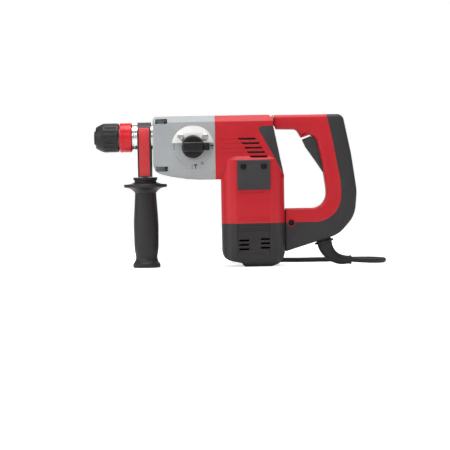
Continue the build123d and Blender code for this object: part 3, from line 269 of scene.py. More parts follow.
def handling_group():
    """Masks of use: a broken line along outer edges, and broad patches where hands polish."""
    group, given, result = group_with(
        "handling_marks", [("Amount", 0.5)], [("Edge", "NodeSocketFloat"), ("Patch", "NodeSocketFloat")]
    )
    place = group.nodes.new("ShaderNodeTexCoord")
    shape = group.nodes.new("ShaderNodeNewGeometry")
    sharp = node_value(group, "ShaderNodeMapRange", From_Min=0.56, From_Max=0.68)
    broken = node_value(group, "ShaderNodeTexNoise", Scale=90.0, Detail=4.0)
    patch = node_value(group, "ShaderNodeTexNoise", Scale=14.0, Detail=5.0, Roughness=0.62)
    spread = node_value(group, "ShaderNodeMapRange", From_Min=0.3, From_Max=0.7)
    edge = node_value(group, "ShaderNodeMath", {"operation": "MULTIPLY"})
    scaled = node_value(group, "ShaderNodeMath", {"operation": "MULTIPLY", "use_clamp": True})
    link(
        group,
        (shape.outputs["Pointiness"], sharp.inputs["Value"]),
        (place.outputs["Object"], broken.inputs["Vector"]),
        (place.outputs["Object"], patch.inputs["Vector"]),
        (sharp.outputs["Result"], edge.inputs[0]),
        (broken.outputs["Fac"], edge.inputs[1]),
        (edge.outputs[0], scaled.inputs[0]),
        (given.outputs["Amount"], scaled.inputs[1]),
        (scaled.outputs[0], result.inputs["Edge"]),
        (patch.outputs["Fac"], spread.inputs["Value"]),
        (spread.outputs["Result"], result.inputs["Patch"]),
    )
    return group


surface_grain = surface_grain_group()
handling_marks = handling_group()


def finish(name, colour, edge_colour, gloss, pitch, depth, wear=0.5, coarse=0.5, metal=0.0, edge=0.0005):
    """A finish from grain and handling: gloss is the roughness of its dull and of its polished spots."""
    material = bpy.data.materials.new(name)
    material.use_nodes = True
    material.diffuse_color = (*colour, 1.0)
    tree = material.node_tree
    shader = tree.nodes["Principled BSDF"]
    shader.inputs["Metallic"].default_value = metal
    shader.inputs["Specular IOR Level"].default_value = 0.3
    grain = node_value(tree, "ShaderNodeGroup", {"node_tree": surface_grain}, Pitch=pitch, Coarse=coarse)
    marks = node_value(tree, "ShaderNodeGroup", {"node_tree": handling_marks}, Amount=wear)
    body = node_value(tree, "ShaderNodeMix", {"data_type": "RGBA"})
    body.inputs[6].default_value = (*[c * 0.93 for c in colour], 1.0)
    body.inputs[7].default_value = (*[min(1.0, c * 1.06) for c in colour], 1.0)
    worn = node_value(tree, "ShaderNodeMix", {"data_type": "RGBA"})
    worn.inputs[7].default_value = (*edge_colour, 1.0)
    rough = node_value(tree, "ShaderNodeMapRange", To_Min=gloss[0], To_Max=gloss[1])
    round_edge = node_value(tree, "ShaderNodeBevel", {"samples": 4}, Radius=edge)
    bump = node_value(tree, "ShaderNodeBump", Strength=1.0, Distance=depth)
    link(
        tree,
        (marks.outputs["Patch"], body.inputs[0]),
        (body.outputs[2], worn.inputs[6]),
        (marks.outputs["Edge"], worn.inputs[0]),
        (worn.outputs[2], shader.inputs["Base Color"]),
        (marks.outputs["Patch"], rough.inputs["Value"]),
        (rough.outputs["Result"], shader.inputs["Roughness"]),
        (grain.outputs["Height"], bump.inputs["Height"]),
        (round_edge.outputs["Normal"], bump.inputs["Normal"]),
        (bump.outputs["Normal"], shader.inputs["Normal"]),
    )
    return material


def cord_sheath():
    """Black rubber sheath with a faint grain and a little dust."""
    return finish(
        "cord_sheath", (0.018, 0.018, 0.019), (0.05, 0.05, 0.05),
        gloss=(0.5, 0.68), pitch=0.0005, depth=4e-5, wear=0.2,
    )


def nurbs_cord(name, points, radius, material):
    data = bpy.data.curves.new(name, "CURVE")
    data.dimensions = "3D"
    spline = data.splines.new("NURBS")
    spline.points.add(len(points) - 1)
    for knot, point in zip(spline.points, points):
        knot.co = (*point, 1.0)
    spline.order_u = 3
    spline.use_endpoint_u = True
    spline.resolution_u = 4
    data.bevel_depth = radius
    data.bevel_resolution = 5
    data.use_fill_caps = True
    data.materials.append(material)
    piece = bpy.data.objects.new(name, data)
    bpy.context.scene.collection.objects.link(piece)
    return piece


sheath = cord_sheath()
mains_cord = nurbs_cord("mains_cord", cord_start + coil_points + cord_end, cord_r, sheath)
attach(mains_cord, "rear_handle")
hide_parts("cord_lead", "cord_coil", "cord_tail")

# ---- The tie and the plug ------------------------------------------------------------------------
# A woven hook-and-loop strap holds the coil. The moulded plug has a ribbed neck, a waist for the
# fingers and two nickel-plated round pins.


def skin_of(node):
    """The joined-up skin of a CAD piece, to work on further."""
    bm = bmesh.new()
    bm.from_mesh(frame["nodes"][node].data)
    bmesh.ops.remove_doubles(bm, verts=bm.verts, dist=3e-6)
    return bm


def fit_piece(piece, node):
    """The piece stands for the CAD node and rides on its body; the CAD node is hidden."""
    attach(piece, frame["nodes"][node]["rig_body"])
    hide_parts(node)


def woven_strap():
    material = finish(
        "woven_strap", (0.03, 0.03, 0.032), (0.08, 0.08, 0.08),
        gloss=(0.8, 0.95), pitch=0.0007, depth=2e-4, wear=0.1,
    )
    tree = material.node_tree
    place = tree.nodes.new("ShaderNodeTexCoord")
    diagonal = {"bands_direction": "DIAGONAL"}
    weave = node_value(tree, "ShaderNodeTexWave", diagonal, Scale=420.0, Distortion=0.6)
    threads = node_value(tree, "ShaderNodeBump", Strength=0.7, Distance=0.0002)
    link(
        tree,
        (place.outputs["Object"], weave.inputs["Vector"]),
        (weave.outputs["Fac"], threads.inputs["Height"]),
        (tree.nodes["Bump"].outputs["Normal"], threads.inputs["Normal"]),
        (threads.outputs["Normal"], tree.nodes["Principled BSDF"].inputs["Normal"]),
    )
    return material


strap = mesh_piece("coil_strap", skin_of("cord_tie"), woven_strap())
fit_piece(strap, "cord_tie")


def plug_rubber():
    return finish(
        "plug_rubber", (0.016, 0.016, 0.017), (0.06, 0.06, 0.06),
        gloss=(0.42, 0.6), pitch=0.0007, depth=5e-5, wear=0.3,
    )


plug = mesh_piece("moulded_plug", skin_of("plug_body"), plug_rubber())
fit_piece(plug, "plug_body")


def worked_metal(name, colour, gloss, stretch, depth):
    """Ground, turned or brushed metal: fine scratches that are long where stretch is small."""
    material = bpy.data.materials.new(name)
    material.use_nodes = True
    material.diffuse_color = (*colour, 1.0)
    tree = material.node_tree
    shader = tree.nodes["Principled BSDF"]
    shader.inputs["Metallic"].default_value = 1.0
    place = tree.nodes.new("ShaderNodeTexCoord")
    pull = node_value(tree, "ShaderNodeMapping", Scale=stretch)
    lines = node_value(tree, "ShaderNodeTexNoise", Scale=900.0, Detail=4.0, Roughness=0.65)
    marks = node_value(tree, "ShaderNodeGroup", {"node_tree": handling_marks}, Amount=0.4)
    tint = node_value(tree, "ShaderNodeMix", {"data_type": "RGBA"})
    tint.inputs[6].default_value = (*[c * 0.8 for c in colour], 1.0)
    tint.inputs[7].default_value = (*colour, 1.0)
    rough = node_value(tree, "ShaderNodeMapRange", To_Min=gloss[0], To_Max=gloss[1])
    round_edge = node_value(tree, "ShaderNodeBevel", {"samples": 4}, Radius=0.0004)
    bump = node_value(tree, "ShaderNodeBump", Strength=0.6, Distance=depth)
    link(
        tree,
        (place.outputs["Object"], pull.inputs["Vector"]),
        (pull.outputs["Vector"], lines.inputs["Vector"]),
        (marks.outputs["Patch"], tint.inputs[0]),
        (tint.outputs[2], shader.inputs["Base Color"]),
        (lines.outputs["Fac"], rough.inputs["Value"]),
        (rough.outputs["Result"], shader.inputs["Roughness"]),
        (lines.outputs["Fac"], bump.inputs["Height"]),
        (round_edge.outputs["Normal"], bump.inputs["Normal"]),
        (bump.outputs["Normal"], shader.inputs["Normal"]),
    )
    return material


def nickel_plate():
    return worked_metal(
        "nickel_plate", (0.82, 0.8, 0.76), gloss=(0.12, 0.22), stretch=(1, 1, 1), depth=2e-6
    )


pins = mesh_piece("plug_contacts", skin_of("plug_pins"), nickel_plate())
fit_piece(pins, "plug_pins")

# ---- The cord's boot -----------------------------------------------------------------------------
# A soft rubber sleeve that keeps the cord from kinking where it leaves the handle. Its collar lies
# against the handle, and it tapers to a lip round the cord.
boot_rubber = plug_rubber()
boot_rubber.name = "boot_rubber"


def swept_sleeve(stations, around=40):
    """A round sleeve through stations of (point, direction, radius), closed at both ends."""
    bm = bmesh.new()
    rings = []
    for centre, along, radius in stations:
        side = Vector((0, 1, 0))
        up = side.cross(along).normalized()
        ring = []
        for k in range(around):
            a = 2 * math.pi * k / around
            ring.append(bm.verts.new(centre + radius * (side * math.cos(a) + up * math.sin(a))))
        rings.append(ring)
    for low, high in zip(rings, rings[1:]):
        for k in range(around):
            n = (k + 1) % around
            bm.faces.new((low[k], low[n], high[n], high[k]))
    bm.faces.new(rings[0])
    bm.faces.new(rings[-1])
    bmesh.ops.recalc_face_normals(bm, faces=bm.faces)
    return bm


def boot_station(t):
    """Where the boot's centreline is, t from 0 at the handle to 1 at its end: straight, bent, straight."""
    straight, bend_r, angle, tail = 6.0, 28.0, math.radians(75.5), 9.0
    total = straight + bend_r * angle + tail
    s = t * total
    start = Vector((97.5, 0, 33.0))
    along = Vector((math.cos(angle), 0, -math.sin(angle)))
    if s <= straight:
        return (start + along * s) * mm, along
    turned = min((s - straight) / bend_r, angle)
    left = angle - turned
    centre = start + along * straight + Vector((math.sin(angle), 0, math.cos(angle))) * bend_r
    point = centre - Vector((math.sin(left), 0, math.cos(left))) * bend_r
    heading = Vector((math.cos(left), 0, -math.sin(left)))
    point += heading * max(0.0, s - straight - bend_r * angle)
    return point * mm, heading


root_r, collar_r, wide_r, thin_r = 10.4, 13.5, 10.2, 5.6
lip_height, lip_start = 0.5, 0.93
taper_start, taper_share = 0.12, 0.8
collar = [(-9.5, root_r), (0.0, root_r), (0.0, collar_r - 0.5), (0.5, collar_r)]
collar += [(2.1, collar_r), (2.6, collar_r - 0.5), (2.6, wide_r)]
boot_stations = []
head_point, head_along = boot_station(0.0)
for back, radius in collar:
    boot_stations.append((head_point + head_along * back * mm, head_along, radius * mm))
boot_steps = 40
for i in range(5, boot_steps + 1):
    t = i / boot_steps
    point, along = boot_station(t)
    taper = wide_r + (thin_r - wide_r) * min(1.0, (t - taper_start) / taper_share)
    lip = lip_height if t > lip_start else 0.0
    boot_stations.append((point, along, (taper + lip) * mm))
boot = mesh_piece("cord_boot_sleeve", swept_sleeve(boot_stations), boot_rubber, 40.0)
fit_piece(boot, "cord_boot")

# ---- The chuck -----------------------------------------------------------------------------------
# Pull the fluted black sleeve back and the tool bit comes out; the red ring behind it frees the
# whole holder. The sleeve is moulded over steel, the ring is enamelled, and the cap is rubber.
spindle_z = 179.7


def turned(profile, z=spindle_z, steps=96, shape=None):
    """A ring shape turned round the spindle's axis from a closed outline of (x, radius) in millimetres."""
    bm = bmesh.new()
    loops = []
    for k in range(steps):
        a = 2 * math.pi * k / steps
        loop = []
        for x, r in profile:
            r = shape(x, r, a) if shape else r
            loop.append(bm.verts.new((x * mm, r * math.cos(a) * mm, (z + r * math.sin(a)) * mm)))
        loops.append(loop)
    count = len(profile)
    for k in range(steps):
        here, after = loops[k], loops[(k + 1) % steps]
        for i in range(count):
            j = (i + 1) % count
            bm.faces.new((here[i], here[j], after[j], after[i]))
    bmesh.ops.recalc_face_normals(bm, faces=bm.faces)
    return bm


sleeve_front, sleeve_rear = -214.3, -182.6
sleeve_cone = 11.6
flutes, flute_depth, flute_round = 18, 1.15, 0.7
fluted_beyond_r, plain_rear, run_out = 15.5, 3.0, 7.0


def fluted(x, r, a):
    """Hollows between the finger ridges, which run out at both ends of the sleeve's straight part."""
    if r < fluted_beyond_r:
        return r
    start = sleeve_front + sleeve_cone
    along = (x - start) / (sleeve_rear - plain_rear - start)
    if not 0.0 < along < 1.0:
        return r
    ends = min(1.0, min(along, 1.0 - along) * run_out)
    hollow = max(0.0, math.cos(flutes * a)) ** flute_round
    return r - flute_depth * ends * hollow


sleeve_outline = [(sleeve_front, 9.9), (sleeve_front, 14.4), (sleeve_front + 0.6, 15.0)]
sleeve_outline += [(sleeve_front + 3.5, 16.7), (sleeve_front + 7.0, 18.4), (sleeve_front + 10.0, 19.7)]
sleeve_outline += [(sleeve_front + sleeve_cone + i * 1.1, 20.0) for i in range(16)]
sleeve_outline += [(sleeve_rear - 1.4, 20.0), (sleeve_rear - 0.5, 19.6), (sleeve_rear, 18.8)]
sleeve_outline += [(sleeve_rear, 14.6), (sleeve_front + 21.2, 14.6), (sleeve_front + 21.2, 13.1)]
sleeve_outline += [(sleeve_front + 9.6, 13.1), (sleeve_front + 9.6, 9.9)]


def sleeve_plastic():
    return finish(
        "sleeve_plastic", (0.014, 0.013, 0.014), (0.09, 0.09, 0.09),
        gloss=(0.34, 0.5), pitch=0.0006, depth=5e-5, wear=0.6,
    )


sleeve_bm = turned(sleeve_outline, steps=12 * flutes, shape=fluted)
chuck_sleeve = mesh_piece("fluted_sleeve", sleeve_bm, sleeve_plastic(), 24.0)
fit_piece(chuck_sleeve, "locking_sleeve")


def ring_enamel():
    return finish(
        "ring_enamel", (0.56, 0.010, 0.018), (0.8, 0.2, 0.2),
        gloss=(0.2, 0.32), pitch=0.0009, depth=1e-5, wear=0.3,
    )


ring_front, ring_rear = -181.4, -164.8
ring_outline = [(ring_front, 14.6), (ring_front, 19.3), (ring_front + 0.4, 20.0), (ring_front + 1.2, 20.5)]
ring_outline += [(ring_front + 5.0, 20.5), (ring_front + 5.3, 20.2), (ring_front + 5.9, 20.2)]
ring_outline += [(ring_front + 6.2, 20.5), (ring_rear - 1.0, 20.5), (ring_rear - 0.3, 20.1)]
ring_outline += [(ring_rear, 19.5), (ring_rear, 18.7), (ring_front + 3.0, 18.7), (ring_front + 3.0, 13.1)]
ring_outline += [(ring_front + 1.2, 13.1), (ring_front + 1.2, 14.6)]
red_ring = mesh_piece("release_collar", turned(ring_outline), ring_enamel(), 28.0)
fit_piece(red_ring, "release_ring")


def cap_rubber():
    return finish(
        "cap_rubber", (0.03, 0.03, 0.031), (0.07, 0.07, 0.07),
        gloss=(0.55, 0.7), pitch=0.0005, depth=6e-5, wear=0.3,
    )


cap = mesh_piece("nose_cap", skin_of("dust_cap"), cap_rubber())
fit_piece(cap, "dust_cap")

# ---- Working parts inside ------------------------------------------------------------------------
# Gears, spindle, piston, striker and bearings are ground steel; the plate that carries the upright
# shafts is machined light alloy, and the commutator's bars are copper.


def ground_steel():
    return worked_metal(
        "ground_steel", (0.52, 0.52, 0.54), gloss=(0.22, 0.42), stretch=(1, 1, 4), depth=6e-6
    )


def machined_alloy():
    return worked_metal(
        "machined_alloy", (0.72, 0.72, 0.74), gloss=(0.3, 0.5), stretch=(6, 1, 1), depth=8e-6
    )


def copper_bar():
    return worked_metal(
        "copper_bar", (0.75, 0.38, 0.2), gloss=(0.25, 0.45), stretch=(1, 1, 0.1), depth=6e-6
    )


def carbon_block():
    return finish(
        "carbon_block", (0.02, 0.02, 0.021), (0.06, 0.06, 0.06),
        gloss=(0.6, 0.8), pitch=0.0004, depth=4e-5, wear=0.4,
    )


def inner_moulding():
    return finish(
        "inner_moulding", (0.03, 0.03, 0.03), (0.08, 0.08, 0.08),
        gloss=(0.45, 0.65), pitch=0.0006, depth=4e-5, wear=0.3,
    )


inner_finishes = {
    "tool_steel": ground_steel(),
    "light_alloy": machined_alloy(),
    "copper": copper_bar(),
    "carbon": carbon_block(),
    "housing_black": inner_moulding(),
    "soft_black": cap_rubber(),
}
slot_of = {part["node"]: part["material_slot"] for part in frame["record"]["subparts"]}
outside = ["gear_housing", "bearing_neck", "motor_housing", "housing_inserts", "base_cap", "brush_covers"]
outside += ["cover_screws", "housing_screws", "selector_plate", "plate_screws", "selector_knob"]
outside += ["selector_lock_button", "dust_cap", "locking_sleeve", "release_ring", "handle_shell_left"]
outside += ["handle_shell_right", "handle_back_shell", "handle_pivot_bolt", "trigger", "side_handle_frame"]
outside += ["side_handle_inserts", "side_grip", "cord_boot", "cord_lead", "cord_coil", "cord_tie"]
outside += ["cord_tail", "plug_body", "plug_pins", "sleeve_spring", "trigger_spring", "handle_bellows"]
for node, part in frame["nodes"].items():
    if node in outside:
        continue
    part.data.materials.clear()
    part.data.materials.append(inner_finishes[slot_of[node]])

# ---- Springs and bellows -------------------------------------------------------------------------
# Wire springs push the chuck's sleeve and the trigger forward, and a rubber bellows closes the gap
# over the rear handle's top bar. Each row gives name, node, slot, joint, fixed end and share; each piece
# gets its own mesh on its body, but nothing here shortens it as its joint moves.
shortening = [
    ("sleeve_return_spring", "sleeve_spring", "tool_steel", "sleeve_slide", 1, 0.45),
    ("trigger_return_spring", "trigger_spring", "tool_steel", "trigger_pull", 1, 0.28),
    ("top_bar_bellows", "handle_bellows", "soft_black", "handle_rock", 0, 0.2),
]
for name, node, slot, joint, end, keep in shortening:
    piece = mesh_piece(name, skin_of(node), inner_finishes[slot])
    fit_piece(piece, node)
    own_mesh(piece)

# ---- The bearing neck ----------------------------------------------------------------------------
# A bright turned steel tube pressed into the gear housing. It carries the spindle's front bearing,
# and the side handle clamps round it.


def turned_steel():
    return worked_metal(
        "turned_steel", (0.78, 0.77, 0.76), gloss=(0.16, 0.3), stretch=(14, 0.3, 0.3), depth=1.2e-5
    )


neck_front, housing_front = -164.6, -135.3
neck_outer, neck_bore, groove_r = 18.35, 15.6, 18.05
neck_outline = [(neck_front, neck_bore), (neck_front, 17.6), (neck_front + 0.7, neck_outer)]
neck_outline += [(neck_front + 2.6, neck_outer), (neck_front + 2.9, groove_r), (neck_front + 3.5, groove_r)]
neck_outline += [(neck_front + 3.8, neck_outer), (housing_front - 3.0, neck_outer)]
neck_outline += [(housing_front + 4.5, neck_outer), (housing_front + 4.5, neck_bore)]
neck = mesh_piece("turned_neck", turned(neck_outline), turned_steel(), 28.0)
fit_piece(neck, "bearing_neck")

# ---- The gear housing ----------------------------------------------------------------------------
# Cast magnesium with a satin grey coat. Four screws, deep in pockets at its corners, hold it to the
# motor housing.


def cast_grey():
    return finish(
        "cast_grey", (0.31, 0.325, 0.335), (0.5, 0.5, 0.5),
        gloss=(0.36, 0.5), pitch=0.0012, depth=4e-5, wear=0.35, coarse=0.3,
    )


grey_coat = cast_grey()
gear_case = mesh_piece("gear_case", skin_of("gear_housing"), grey_coat, 24.0)
fit_piece(gear_case, "gear_housing")

# ---- The motor housing ---------------------------------------------------------------------------
# Glass-filled nylon in one moulding, red right through: the head over the gears and the column
# round the motor. Five slots a side let the warm air out; the upper four have a groove ahead of them.


def red_nylon():
    return finish(
        "red_nylon", (0.46, 0.009, 0.017), (0.75, 0.1, 0.1),
        gloss=(0.34, 0.46), pitch=0.0007, depth=3e-5, wear=0.25,
    )


def bars(boxes):
    """Several straight-sided blocks in one mesh, each from its low and high corners in millimetres."""
    bm = bmesh.new()
    for low, high in boxes:
        low, high = Vector(low) * mm, Vector(high) * mm
        made = bmesh.ops.create_cube(bm, size=1.0)["verts"]
        bmesh.ops.scale(bm, vec=high - low, verts=made)
        bmesh.ops.translate(bm, vec=(low + high) / 2, verts=made)
    return bm


def carve(piece, tool_bm):
    """Cuts the tool's shape out of the piece."""
    tool = mesh_piece("cutter", tool_bm)
    step = piece.modifiers.new("carve", "BOOLEAN")
    step.object = tool
    step.operation = "DIFFERENCE"
    step.solver = "EXACT"
    bpy.context.view_layer.update()
    evaluated = piece.evaluated_get(bpy.context.evaluated_depsgraph_get())
    mesh = bpy.data.meshes.new_from_object(evaluated)
    piece.modifiers.clear()
    piece.data = mesh
    mesh.set_sharp_from_angle(angle=math.radians(usual_crease))
    bpy.data.objects.remove(tool)


red_shell = red_nylon()
motor_case = mesh_piece("motor_case", skin_of("motor_housing"), red_shell, 24.0)
grooved_slots = [(-18.6, 174.6), (-13.9, 168.4), (-10.2, 162.2), (-6.4, 156.1)]  # front end, level
head_floor, column_floor, clear_of_side = 36.5, 41.6, 45.0  # across the tool, each side
groove_height, crease_height = 0.8, 0.5
groove_boxes = []
for side in (-1, 1):
    y0, y1 = sorted((side * head_floor, side * clear_of_side))
    for x, z in grooved_slots:
        groove_boxes.append(((-42.0, y0, z - 0.1 - groove_height), (x - 3.4, y1, z - 0.1)))
for side in (-1, 1):
    y0, y1 = sorted((side * column_floor, side * clear_of_side))
    groove_boxes += [((-19.0, y0, z), (22.0, y1, z + crease_height)) for z in (63.8, 66.9, 100.6)]
carve(motor_case, bars(groove_boxes))
fit_piece(motor_case, "motor_housing")

# Thin dark plates stand behind the slots as painted shade: dark sheets that make the slots look shaded
# inside.
shade_plate_y, shade_plate_half = 32.2, 0.4
shade_plate_boxes = []
for s in (-1, 1):
    shade_plate_boxes.append(((-24.0, s * shade_plate_y - shade_plate_half, 146.5), (29.0, s * shade_plate_y + shade_plate_half, 179.0)))
slot_shade_plates = mesh_piece("slot_shade_plates", bars(shade_plate_boxes), inner_finishes["housing_black"])
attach(slot_shade_plates, "housing")


def soft_overmould():
    return finish(
        "soft_overmould", (0.027, 0.025, 0.027), (0.1, 0.1, 0.1),
        gloss=(0.5, 0.64), pitch=0.0006, depth=7e-5, wear=0.35,
    )


soft_grey = soft_overmould()
wedges = mesh_piece("rubber_wedges", skin_of("housing_inserts"), soft_grey, 24.0)
fit_piece(wedges, "housing_inserts")

# ---- The brush covers ----------------------------------------------------------------------------
# Behind these plates are the carbon brushes. Each is moulded dark grey nylon on two screws, so that
# the brushes can be changed.


def cover_nylon():
    return finish(
        "cover_nylon", (0.030, 0.029, 0.031), (0.12, 0.12, 0.12),
        gloss=(0.4, 0.54), pitch=0.0006, depth=6e-5, wear=0.4,
    )


dark_nylon = cover_nylon()
covers = mesh_piece("brush_access_covers", skin_of("brush_covers"), dark_nylon, 24.0)
fit_piece(covers, "brush_covers")

# ---- The base cap --------------------------------------------------------------------------------
# Black glass-filled nylon that closes the motor's lower end, with fine creases round its side panels.
# Cooling air comes in through its slots.


def black_nylon():
    return finish(
        "black_nylon", (0.020, 0.018, 0.019), (0.09, 0.09, 0.09),
        gloss=(0.38, 0.52), pitch=0.0006, depth=6e-5, wear=0.4,
    )


nylon_black = black_nylon()
foot = mesh_piece("motor_foot", skin_of("base_cap"), nylon_black, 24.0)
foot_floor = 41.4
crease_low, crease_high = 12.0, 58.5
crease_boxes = []
for side in (-1, 1):
    y0, y1 = sorted((side * foot_floor, side * clear_of_side))
    crease_boxes += [((-21.2, y0, z), (21.2, y1, z + crease_height)) for z in (55.8, 52.2, 49.0)]
    crease_boxes.append(((-22.4, y0, crease_low), (-21.8, y1, crease_high)))
    crease_boxes.append(((21.8, y0, crease_low), (22.4, y1, crease_high)))
carve(foot, bars(crease_boxes))
fit_piece(foot, "base_cap")

# ---- The screws ----------------------------------------------------------------------------------
# Star-socket screws: blackened ones hold the covers, the gear housing and the handle's pivot, and
# bright ones hold the selector plate. One tree makes the cover and plate screws' heads from their places;
# the gear housing's screws and the pivot bolt keep their CAD shapes.


def screw_tree():
    tree = bpy.data.node_groups.new("star_socket_heads", "GeometryNodeTree")
    tree.interface.new_socket("Geometry", in_out="INPUT", socket_type="NodeSocketGeometry")
    for label, default in (("Head radius", 0.005), ("Head height", 0.002), ("Socket radius", 0.002)):
        socket = tree.interface.new_socket(label, in_out="INPUT", socket_type="NodeSocketFloat")
        socket.default_value = default
    tree.interface.new_socket("Finish", in_out="INPUT", socket_type="NodeSocketMaterial")
    tree.interface.new_socket("Geometry", in_out="OUTPUT", socket_type="NodeSocketGeometry")
    given, result = tree.nodes.new("NodeGroupInput"), tree.nodes.new("NodeGroupOutput")

    def times(socket, factor):
        node = node_value(tree, "ShaderNodeMath", {"operation": "MULTIPLY"})
        node.inputs[1].default_value = factor
        link(tree, (socket, node.inputs[0]))
        return node.outputs[0]

    def raised(mesh, height):
        lift = tree.nodes.new("ShaderNodeCombineXYZ")
        move = tree.nodes.new("GeometryNodeTransform")
        link(tree, (height, lift.inputs["Z"]), (mesh, move.inputs["Geometry"]))
        link(tree, (lift.outputs[0], move.inputs["Translation"]))
        return move.outputs["Geometry"]

    radius, height = given.outputs["Head radius"], given.outputs["Head height"]
    socket_r = given.outputs["Socket radius"]
    flank_share, crown_share, crown_top = 0.55, 0.45, 0.8
    star_inner, socket_floor, socket_depth = 0.72, 0.2, 1.2
    flank = node_value(tree, "GeometryNodeMeshCylinder", Vertices=36)
    link(tree, (radius, flank.inputs["Radius"]), (times(height, flank_share), flank.inputs["Depth"]))
    crown = node_value(tree, "GeometryNodeMeshCone", Vertices=36)
    link(tree, (times(radius, crown_top), crown.inputs["Radius Top"]))
    link(tree, (radius, crown.inputs["Radius Bottom"]))
    link(tree, (times(height, crown_share), crown.inputs["Depth"]))
    star = node_value(tree, "GeometryNodeCurveStar", Points=6)
    link(tree, (times(socket_r, star_inner), star.inputs["Inner Radius"]))
    link(tree, (socket_r, star.inputs["Outer Radius"]))
    filled = tree.nodes.new("GeometryNodeFillCurve")
    deep = tree.nodes.new("GeometryNodeExtrudeMesh")
    deep.inputs["Individual"].default_value = False
    link(tree, (star.outputs["Curve"], filled.inputs["Curve"]))
    link(tree, (filled.outputs["Mesh"], deep.inputs["Mesh"]))
    link(tree, (times(height, socket_depth), deep.inputs["Offset Scale"]))
    punch = tree.nodes.new("GeometryNodeJoinGeometry")
    turn = tree.nodes.new("GeometryNodeFlipFaces")
    link(tree, (filled.outputs["Mesh"], turn.inputs["Mesh"]), (turn.outputs["Mesh"], punch.inputs[0]))
    link(tree, (deep.outputs["Mesh"], punch.inputs[0]))
    weld = node_value(tree, "GeometryNodeMergeByDistance", Distance=1e-6)
    link(tree, (punch.outputs[0], weld.inputs["Geometry"]))
    pierced = node_value(tree, "GeometryNodeMeshBoolean", {"operation": "DIFFERENCE"})
    link(tree, (raised(crown.outputs["Mesh"], times(height, flank_share)), pierced.inputs["Mesh 1"]))
    link(tree, (raised(weld.outputs["Geometry"], times(height, socket_floor)), pierced.inputs["Mesh 2"]))
    head = tree.nodes.new("GeometryNodeJoinGeometry")
    link(tree, (raised(flank.outputs["Mesh"], times(height, flank_share / 2)), head.inputs[0]))
    link(tree, (pierced.outputs["Mesh"], head.inputs[0]))
    angles = {"data_type": "FLOAT_VECTOR"}
    facing = node_value(tree, "GeometryNodeInputNamedAttribute", angles, Name="facing")
    placed = tree.nodes.new("GeometryNodeInstanceOnPoints")
    whole = tree.nodes.new("GeometryNodeRealizeInstances")
    coat = tree.nodes.new("GeometryNodeSetMaterial")
    link(
        tree,
        (given.outputs["Geometry"], placed.inputs["Points"]),
        (head.outputs[0], placed.inputs["Instance"]),
        (facing.outputs["Attribute"], placed.inputs["Rotation"]),
        (placed.outputs["Instances"], whole.inputs["Geometry"]),
        (whole.outputs["Geometry"], coat.inputs["Geometry"]),
        (given.outputs["Finish"], coat.inputs["Material"]),
        (coat.outputs["Geometry"], result.inputs["Geometry"]),
    )
    return tree


star_heads = screw_tree()
to_left, to_right = (math.pi / 2, 0, 0), (-math.pi / 2, 0, 0)


def screw_heads(name, places, head_r, head_h, socket_r, material):
    """Screw heads at places of (x, y, z, facing), in millimetres, as one plain mesh."""
    seed = bpy.data.meshes.new(name + "_places")
    seed.from_pydata([Vector(p[:3]) * mm for p in places], [], [])
    turn = seed.attributes.new("facing", "FLOAT_VECTOR", "POINT")
    turn.data.foreach_set("vector", [v for p in places for v in p[3]])
    maker = bpy.data.objects.new(name + "_places", seed)
    bpy.context.scene.collection.objects.link(maker)
    step = maker.modifiers.new("heads", "NODES")
    step.node_group = star_heads
    sizes = {"Head radius": head_r * mm, "Head height": head_h * mm, "Socket radius": socket_r * mm}
    for item in star_heads.interface.items_tree:
        if item.in_out == "INPUT" and item.name in sizes:
            step[item.identifier] = sizes[item.name]
        if item.in_out == "INPUT" and item.name == "Finish":
            step[item.identifier] = material
    bpy.context.view_layer.update()
    made = maker.evaluated_get(bpy.context.evaluated_depsgraph_get())
    bm = bmesh.new()
    bm.from_mesh(bpy.data.meshes.new_from_object(made))
    bpy.data.objects.remove(maker)
    return mesh_piece(name, bm, material, 30.0)


def blackened_steel():
    colour, edge_colour, gloss = (0.012, 0.012, 0.013), (0.2, 0.2, 0.2), (0.22, 0.36)
    return finish(
        "blackened_steel", colour, edge_colour,
        gloss=gloss, pitch=0.0008, depth=1e-5, wear=0.6, metal=0.6,
    )


def bright_zinc():
    return worked_metal(
        "bright_zinc", (0.75, 0.74, 0.73), gloss=(0.18, 0.32), stretch=(1, 1, 1), depth=6e-6
    )


black_steel = blackened_steel()
zinc = bright_zinc()

cover_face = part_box("brush_covers")[0].y / mm
cover_places = [(x, cover_face, z, to_left) for x, z in ((-12.4, 136.9), (15.4, 136.8))]
cover_places += [(x, -cover_face, z, to_right) for x, z in ((-12.4, 136.9), (15.4, 136.8))]
cover_heads = screw_heads(
    "cover_screw_heads", cover_places, head_r=4.3, head_h=1.8, socket_r=1.9, material=black_steel
)
fit_piece(cover_heads, "cover_screws")

plate_face = -38.5
plate_places = [(-96.8, plate_face, 178.1, to_left), (-63.7, plate_face, 177.9, to_left)]
plate_heads = screw_heads(
    "plate_screw_heads", plate_places, head_r=4.9, head_h=2.2, socket_r=2.1, material=zinc
)
fit_piece(plate_heads, "plate_screws")

housing_bolts = mesh_piece("housing_bolts", skin_of("housing_screws"), black_steel)
fit_piece(housing_bolts, "housing_screws")
pivot_bolt = mesh_piece("pivot_bolt", skin_of("handle_pivot_bolt"), black_steel)
fit_piece(pivot_bolt, "handle_pivot_bolt")

# ---- The mode selector ---------------------------------------------------------------------------
# A knob with a raised bar turns a shaft into the gear housing. A bent bright plate above it keeps
# it on, small pads of black ink mark its settings, and a thin grey scale runs round it.


def plate_steel():
    return worked_metal(
        "plate_steel", (0.96, 0.95, 0.93), gloss=(0.36, 0.46), stretch=(0.25, 1, 6), depth=3e-6
    )


